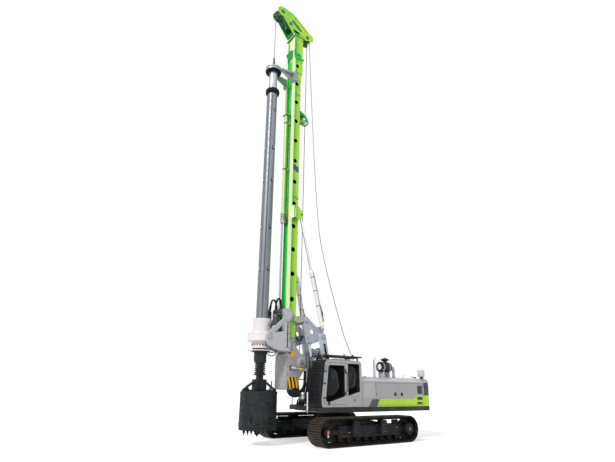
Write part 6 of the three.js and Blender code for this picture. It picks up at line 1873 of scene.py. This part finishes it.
def make_kelly():
    kelly = Shape()
    sides, shoulder, collar, ring_top = 64, 3.12, 14.12, 15.342
    kelly.turned(tube(0.17, 0.213, shoulder, collar), KELLY_STEEL, K(0, 0, 0), sides=sides)
    kelly.turned([(0.17, 2.66), (0.205, 2.66), (0.213, 2.675), (0.213, 3.12), (0.17, 3.12), (0.17, 2.66)],
                 BLACK, K(0, 0, 0), sides=sides)
    # the head: a black collar, a silver neck, a dark ring and the swivel
    kelly.turned([(0.15, 14.12), (0.235, 14.12), (0.29, 14.16), (0.3, 14.18), (0.3, 14.31), (0.285, 14.34),
                  (0.2, 14.35), (0.15, 14.34), (0.15, 14.12)], TEAL, K(0, 0, 0), sides=sides)
    kelly.turned([(0.12, 14.28), (0.19, 14.33), (0.183, 14.38), (0.18, 14.5), (0.187, 14.51), (0.187, 14.56),
                  (0.18, 14.57), (0.18, 15.29), (0.12, 15.29), (0.12, 14.28)], SILVER, K(0, 0, 0),
                 sides=sides)
    kelly.turned([(0.12, 15.29), (0.335, 15.31), (0.345, 15.32), (0.345, 15.335), (0.335, ring_top),
                  (0.27, ring_top), (0.12, ring_top), (0.12, 15.29)], TEAL, K(0, 0, 0), sides=sides)
    kelly.turned([(0.12, ring_top), (0.27, ring_top), (0.278, 15.36), (0.278, 15.45), (0.26, 15.475),
                  (0.1, 15.51), (0.06, 15.52), (0.06, 15.56), (0.05, 15.57), (0.05, 15.78), (0.034, 15.82),
                  (0, 15.82), (0, 15.34), (0.12, ring_top)], DARK_GREY, K(0, 0, 0), sides=48)
    kelly.turned([(0, 15.78), (0.047, 15.78), (0.052, 15.8), (0.052, 15.98), (0.044, 16.0), (0.044, 16.12),
                  (0.03, 16.18), (0.016, 16.2), (0, 16.2)], SOCKET_GREY, K(0, 0, 0), sides=28)
    kelly.rod(K(0, -0.066, 15.88), K(0, 0.066, 15.88), 0.02, CHAIN_STEEL, 16, 0.003)
    for n in range(12):
        a = 2 * math.pi * n / 12
        out = outward(a)
        kelly.bolt(K(0, 0, 14.25) + out * 0.298, out, 0.014)
        kelly.bolt(K(0, 0, ring_top) + out * 0.31, (0, 0, -1), 0.001)
    # three drive ribs, each stepped at its locking notches, with near-black blocks in the notches as painted
    # shade
    notches = (13.1, 11.2, 9.7, 7.65, 5.95)
    for n in range(3):
        turn = about_kelly(n * 120 + 90)
        top = 14.0
        for notch in notches:
            foot = notch + 0.24
            kelly.box((0.205, -0.028, foot), (0.233, 0.028, top), KELLY_STEEL, 0.004, turn)
            kelly.box((0.205, -0.024, notch + 0.06), (0.226, 0.07, notch + 0.12), SHADE_AND_SOOT, 0.004, turn)
            kelly.box((0.205, -0.024, notch + 0.12), (0.219, -0.004, foot), SHADE_AND_SOOT, 0.002, turn)
            top = notch + 0.07
        kelly.box((0.205, -0.028, shoulder), (0.233, 0.028, top), KELLY_STEEL, 0.004, turn)
        kelly.box((0.205, -0.028, 2.72), (0.233, 0.028, shoulder), BLACK, 0.004, turn)
        for angle, width in ((0.75, 0.012), (-0.6, 0.02), (1.6, 0.012)):
            groove = about_kelly(n * 120 + 90 + math.degrees(angle))
            kelly.box((0.207, -width, 3.3), (0.2145, width, 13.98), DARK_GREY, 0, groove)
    kelly.finish("kelly_bar_unit", "kelly", ["kelly_bar"], "bare_steel")


def make_kelly_stub():
    stub = Shape()
    stub.turned(disc(0.12, 3.3, 2.63), SHADE_AND_SOOT, K(0, 0, 0), sides=32)
    stub.turned(disc(0.13, 2.64, 2.3), SHADE_AND_SOOT, K(0, 0, 0), sides=32)
    for n in range(5):
        z = 2.335 + n * 0.068
        r = 0.176 - 0.004 * abs(n - 2)
        ring = [(r + 0.02 * math.cos(a),
                 z + 0.026 * math.sin(a)) for a in (2 * math.pi * k / 10 for k in range(10))]
        stub.turned([*ring, ring[0]], BLACK, K(0, 0, 0), sides=48)
    stub.turned([(0, 2.24), (0.2, 2.24), (0.215, 2.25), (0.215, 2.28), (0.19, 2.3), (0, 2.3)], BLACK,
                K(0, 0, 0), sides=48)
    stub.turned(tube(0.12, 0.17, 2.645, 2.658), BLACK, K(0, 0, 0), sides=48)
    stub.box(K(-0.099, -0.099, 1.752), K(0.099, 0.099, 2.245), BLACK, 0.012, segments=2)
    stub.finish("kelly_stub_spring", "kelly", ["kelly_stub"], "dark_paint")


def make_guide_fittings():
    guide = Shape()
    z = 15.42
    guide.turned(tube(0.355, 0.364, -0.05, -0.02), SILVER, K(0, 0, z), sides=64)
    guide.turned(tube(0.355, 0.364, 0.07, 0.1), SILVER, K(0, 0, z), sides=64)
    guide.bolts(K(0, 0, z + 0.108), (0, 0, 1), 0.325, 24, 0.012)
    for side in (1, -1):
        post = side * 0.44
        for z0 in (z - 0.3, z + 0.02):
            guide.box(P(2.46, post - side * 0.003, z0), P(2.63, post + side * 0.012, z0 + 0.09), PALE, 0.004)
            for x in (2.48, 2.545, 2.61):
                guide.bolt(P(x, post + side * 0.012, z0 + 0.045), (0, side, 0), 0.011)
        guide.rod(K(-0.33, side * 0.3, z + 0.1), K(-0.33, side * 0.3, z + 0.2), 0.016, DARK_GREY, 12, 0.003)
    guide.finish("kelly_guide_fittings", "kelly_guide", slot="pale_paint")


def make_bucket():
    bucket = Shape()
    outer = 0.643
    bucket.turned([(0.62, 0.56), (outer, 0.56), (0.65, 0.57), (0.65, 0.70), (outer, 0.71), (outer, 1.62),
                   (0.65, 1.63), (0.65, 1.685), (0.635, 1.705), (0.62, 1.708), (0.18, 1.708), (0.18, 1.67),
                   (0.62, 1.67), (0.62, 0.56)], BUCKET_IRON, K(0, 0, 0), sides=96)
    # welded reinforcing strips, slots and the lifting hole; the slots and holes are near-black inserts,
    # painted shade inside them
    for angle in (20, 75, 130, 185, 240, 295, 345):
        turn = about_kelly(angle)
        bucket.box((outer - 0.004, -0.016, 0.71), (outer + 0.006, 0.016, 1.62), BUCKET_IRON, 0.002, turn)
    for angle in (40, 140, 220, 320, 62, 98, 265):
        turn = about_kelly(angle)
        bucket.box((outer - 0.002, -0.023, 0.66), (0.6485, 0.023, 0.9), SHADE_AND_SOOT, 0, turn)
        bucket.box((outer - 0.002, -0.034, 0.65), (0.65, -0.023, 0.91), TOOTH_IRON, 0.002, turn)
        bucket.box((outer - 0.002, 0.023, 0.65), (0.65, 0.034, 0.91), TOOTH_IRON, 0.002, turn)
    for angle in (92, 272):
        a = math.radians(angle)
        out = outward(a)
        bucket.turned(disc(0.033, 0.003), SHADE_AND_SOOT, K(0, 0, 1.33) + out * (outer + 0.001), out, 20)
    # the socket box with its cross pin, and the fins down to the lid
    for a, b in (((-0.19, -0.19), (-0.104, 0.19)), ((0.104, -0.19), (0.19, 0.19)),
                 ((-0.104, -0.19), (0.104, -0.104)), ((-0.104, 0.104), (0.104, 0.19))):
        bucket.box(K(*a, 1.66), K(*b, 2.105), BUCKET_IRON, 0.008)
    bucket.box(K(-0.21, -0.21, 1.70), K(-0.104, 0.21, 1.76), BUCKET_IRON, 0.008)
    bucket.box(K(0.104, -0.21, 1.70), K(0.21, 0.21, 1.76), BUCKET_IRON, 0.008)
    bucket.rod(K(-0.235, 0, 2.0), K(0.235, 0, 2.0), 0.038, TOOTH_IRON, 20, 0.006)
    bucket.rod(K(0, -0.235, 2.0), K(0, 0.235, 2.0), 0.03, TOOTH_IRON, 20, 0.006)
    for n in range(4):
        turn = about_kelly(n * 90 + 45)
        fin = [(0.17, 1.7), (0.62, 1.7), (0.62, 1.75), (0.25, 2.04), (0.17, 2.04)]
        hole = [(0.25, 1.76), (0.5, 1.76), (0.25, 1.94)]
        bucket.plate(fin, "xz", -0.016, 0.016, BUCKET_IRON, [rounded(hole, 0.02)], 0.003, turn)
        bucket.box((0.2, -0.045, 1.705), (0.62, 0.045, 1.722), BUCKET_IRON, 0.003, turn)
        bucket.plate([(0.24, 2.045), (0.62, 1.755), (0.62, 1.735), (0.23, 2.03)], "xz", -0.03, 0.03,
                     BUCKET_IRON, bevel=0.003, turn=turn)
    # the push rod of the latch, its arm low on the side, and lifting lugs
    for angle, z0, z1 in ((118, 1.72, 2.06), (-62, 1.72, 1.92)):
        a = math.radians(angle)
        spot = K(0.5 * math.cos(a), 0.5 * math.sin(a), z0)
        bucket.rod(spot, spot + Vector((0, 0, z1 - z0)), 0.018, TOOTH_IRON, 12, 0.004)
        bucket.turned(disc(0.045, 0.012), TOOTH_IRON, spot - Vector((0, 0, 0.01)), sides=20)
    for angle in (10, 190):
        turn = about_kelly(angle)
        bucket.plate([(0.44, 1.7), (0.6, 1.7), (0.58, 1.8), (0.52, 1.84), (0.46, 1.8)], "xz", -0.014, 0.014,
                     BUCKET_IRON, [circle(0.52, 1.78, 0.022, 14)], 0.003, turn)
    turn = about_kelly(152)
    bucket.box((0.6, -0.2, 0.585), (0.649, 0.2, 0.66), TOOTH_IRON, 0.006, turn)
    bucket.rod(turn @ Vector((0.64, -0.2, 0.62)), turn @ Vector((0.64, 0.2, 0.62)), 0.012, TOOTH_IRON, 10)
    # the lid's latch lever low on the side, with its eye
    lever = [K(0.662 * math.cos(math.radians(a)), 0.662 * math.sin(math.radians(a)),
               0.69 + (a - 64) * 0.003) for a in (64, 78, 92, 106, 120)]
    bucket.pipe(lever, 0.022, TOOTH_IRON, 10)
    out = outward(math.radians(60))
    bucket.turned(tube(0.028, 0.056, -0.015, 0.015), BUCKET_IRON, K(0, 0, 0.68) + out * 0.664, out, 24)
    x, z = -0.67, 0.515
    ear = [(x - 0.03, z - 0.01), (x - 0.012, z - 0.024), (x + 0.01, z - 0.024), (x + 0.022, z - 0.008),
           (x + 0.022, 0.565), (x + 0.04, 0.565), (x + 0.04, 0.82), (x - 0.03, 0.66)]
    for side in (1, -1):
        bucket.plate([(KELLY_X + a, b) for a, b in ear], "xz", *span(side, 0.055, 0.08), BUCKET_IRON,
                     bevel=0.002)
        bucket.bolt(K(x, side * 0.076, z), (0, side, 0), 0.016)
    bucket.rod(K(x, -0.079, z), K(x, 0.079, z), 0.016, TOOTH_IRON, 20)
    bucket.finish("drilling_bucket_unit", "kelly", ["drilling_bucket"], "worn_steel")


def make_gate():
    gate = Shape()
    mouths = [[(0.06, 0.06), (0.53, 0.06), (0.49, 0.3), (0.06, 0.3)],
              [(-0.06, -0.06), (-0.53, -0.06), (-0.49, -0.3), (-0.06, -0.3)]]
    rim = circle(0, 0, 0.64, 72)
    gate.plate([(KELLY_X + x, y) for x, y in rim], "xy", 0.48, 0.552, BUCKET_IRON,
               [[(KELLY_X + x, y) for x, y in rounded(mouth, 0.03)] for mouth in mouths], 0.004)
    for side in (1, -1):
        for n in range(4):
            x = side * (0.11 + n * 0.14)
            y = side * 0.04
            holder = [(x - 0.045, 0.49), (x + 0.045, 0.49), (x + 0.03, 0.40), (x - 0.03, 0.385)]
            gate.plate([(KELLY_X + a, b) for a, b in holder], "xz", y - 0.026, y + 0.026, BUCKET_IRON,
                       bevel=0.004)
            gate.turned([(0, 0), (0.021, 0), (0.021, 0.02), (0.015, 0.04), (0.013, 0.055), (0.003, 0.075),
                         (0, 0.076)], TOOTH_IRON, K(x, y, 0.39), (0.12 * side, side * 0.25, -1), 14)
        gate.plate([(KELLY_X + side * 0.06, side * 0.01), (KELLY_X + side * 0.6, side * 0.01),
                    (KELLY_X + side * 0.58, side * 0.075), (KELLY_X + side * 0.06, side * 0.075)], "xy",
                   0.465, 0.49, BUCKET_IRON, bevel=0.004)
    gate.turned([(0, 0.252), (0.028, 0.28), (0.05, 0.33), (0.09, 0.40), (0.09, 0.49), (0, 0.49)], TOOTH_IRON,
                K(0, 0, 0), sides=24)
    for n in range(2):
        turn = about_kelly(90 * n + 45)
        gate.plate([(-0.115, 0.48), (0.115, 0.48), (0.085, 0.37), (0.02, 0.275), (-0.02, 0.275),
                    (-0.085, 0.37)], "xz", -0.012, 0.012, TOOTH_IRON, bevel=0.003, turn=turn)
    gate.plate([(-0.702 + KELLY_X, 0.481), (-0.58 + KELLY_X, 0.481), (-0.58 + KELLY_X, 0.544),
                (-0.69 + KELLY_X, 0.544), (-0.702 + KELLY_X, 0.53)], "xz", -0.049, 0.049, BUCKET_IRON,
               [circle(KELLY_X - 0.67, 0.515, 0.0185, 20)], 0.002)
    gate.finish("bucket_gate_unit", "bucket_gate", ["bucket_gate"], "worn_steel")


make_sledge_fittings()
make_rotary_drive()
make_kelly()
make_kelly_stub()
make_guide_fittings()
make_bucket()
make_gate()

# ---------------------------------------------------------------- the slack auxiliary rope


def make_slack_rope():
    rope = Shape()
    line = ((1.567, 18.08), (1.385, 14.5), (1.03, 9.17), (0.65, 6.97), (-0.29, 4.12), (-0.75, 3.15),
            (-1.375, 1.83))
    points = [P(x, AUXILIARY_ROPE_Y, z) for x, z in line]
    rope.pipe(points, ROPE_RADIUS, ROPE, 10, steps=14)
    piece = rope.finish("slack_rope", "auxiliary_rope", ["auxiliary_rope"], "wire_rope")
    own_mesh(piece)


make_slack_rope()
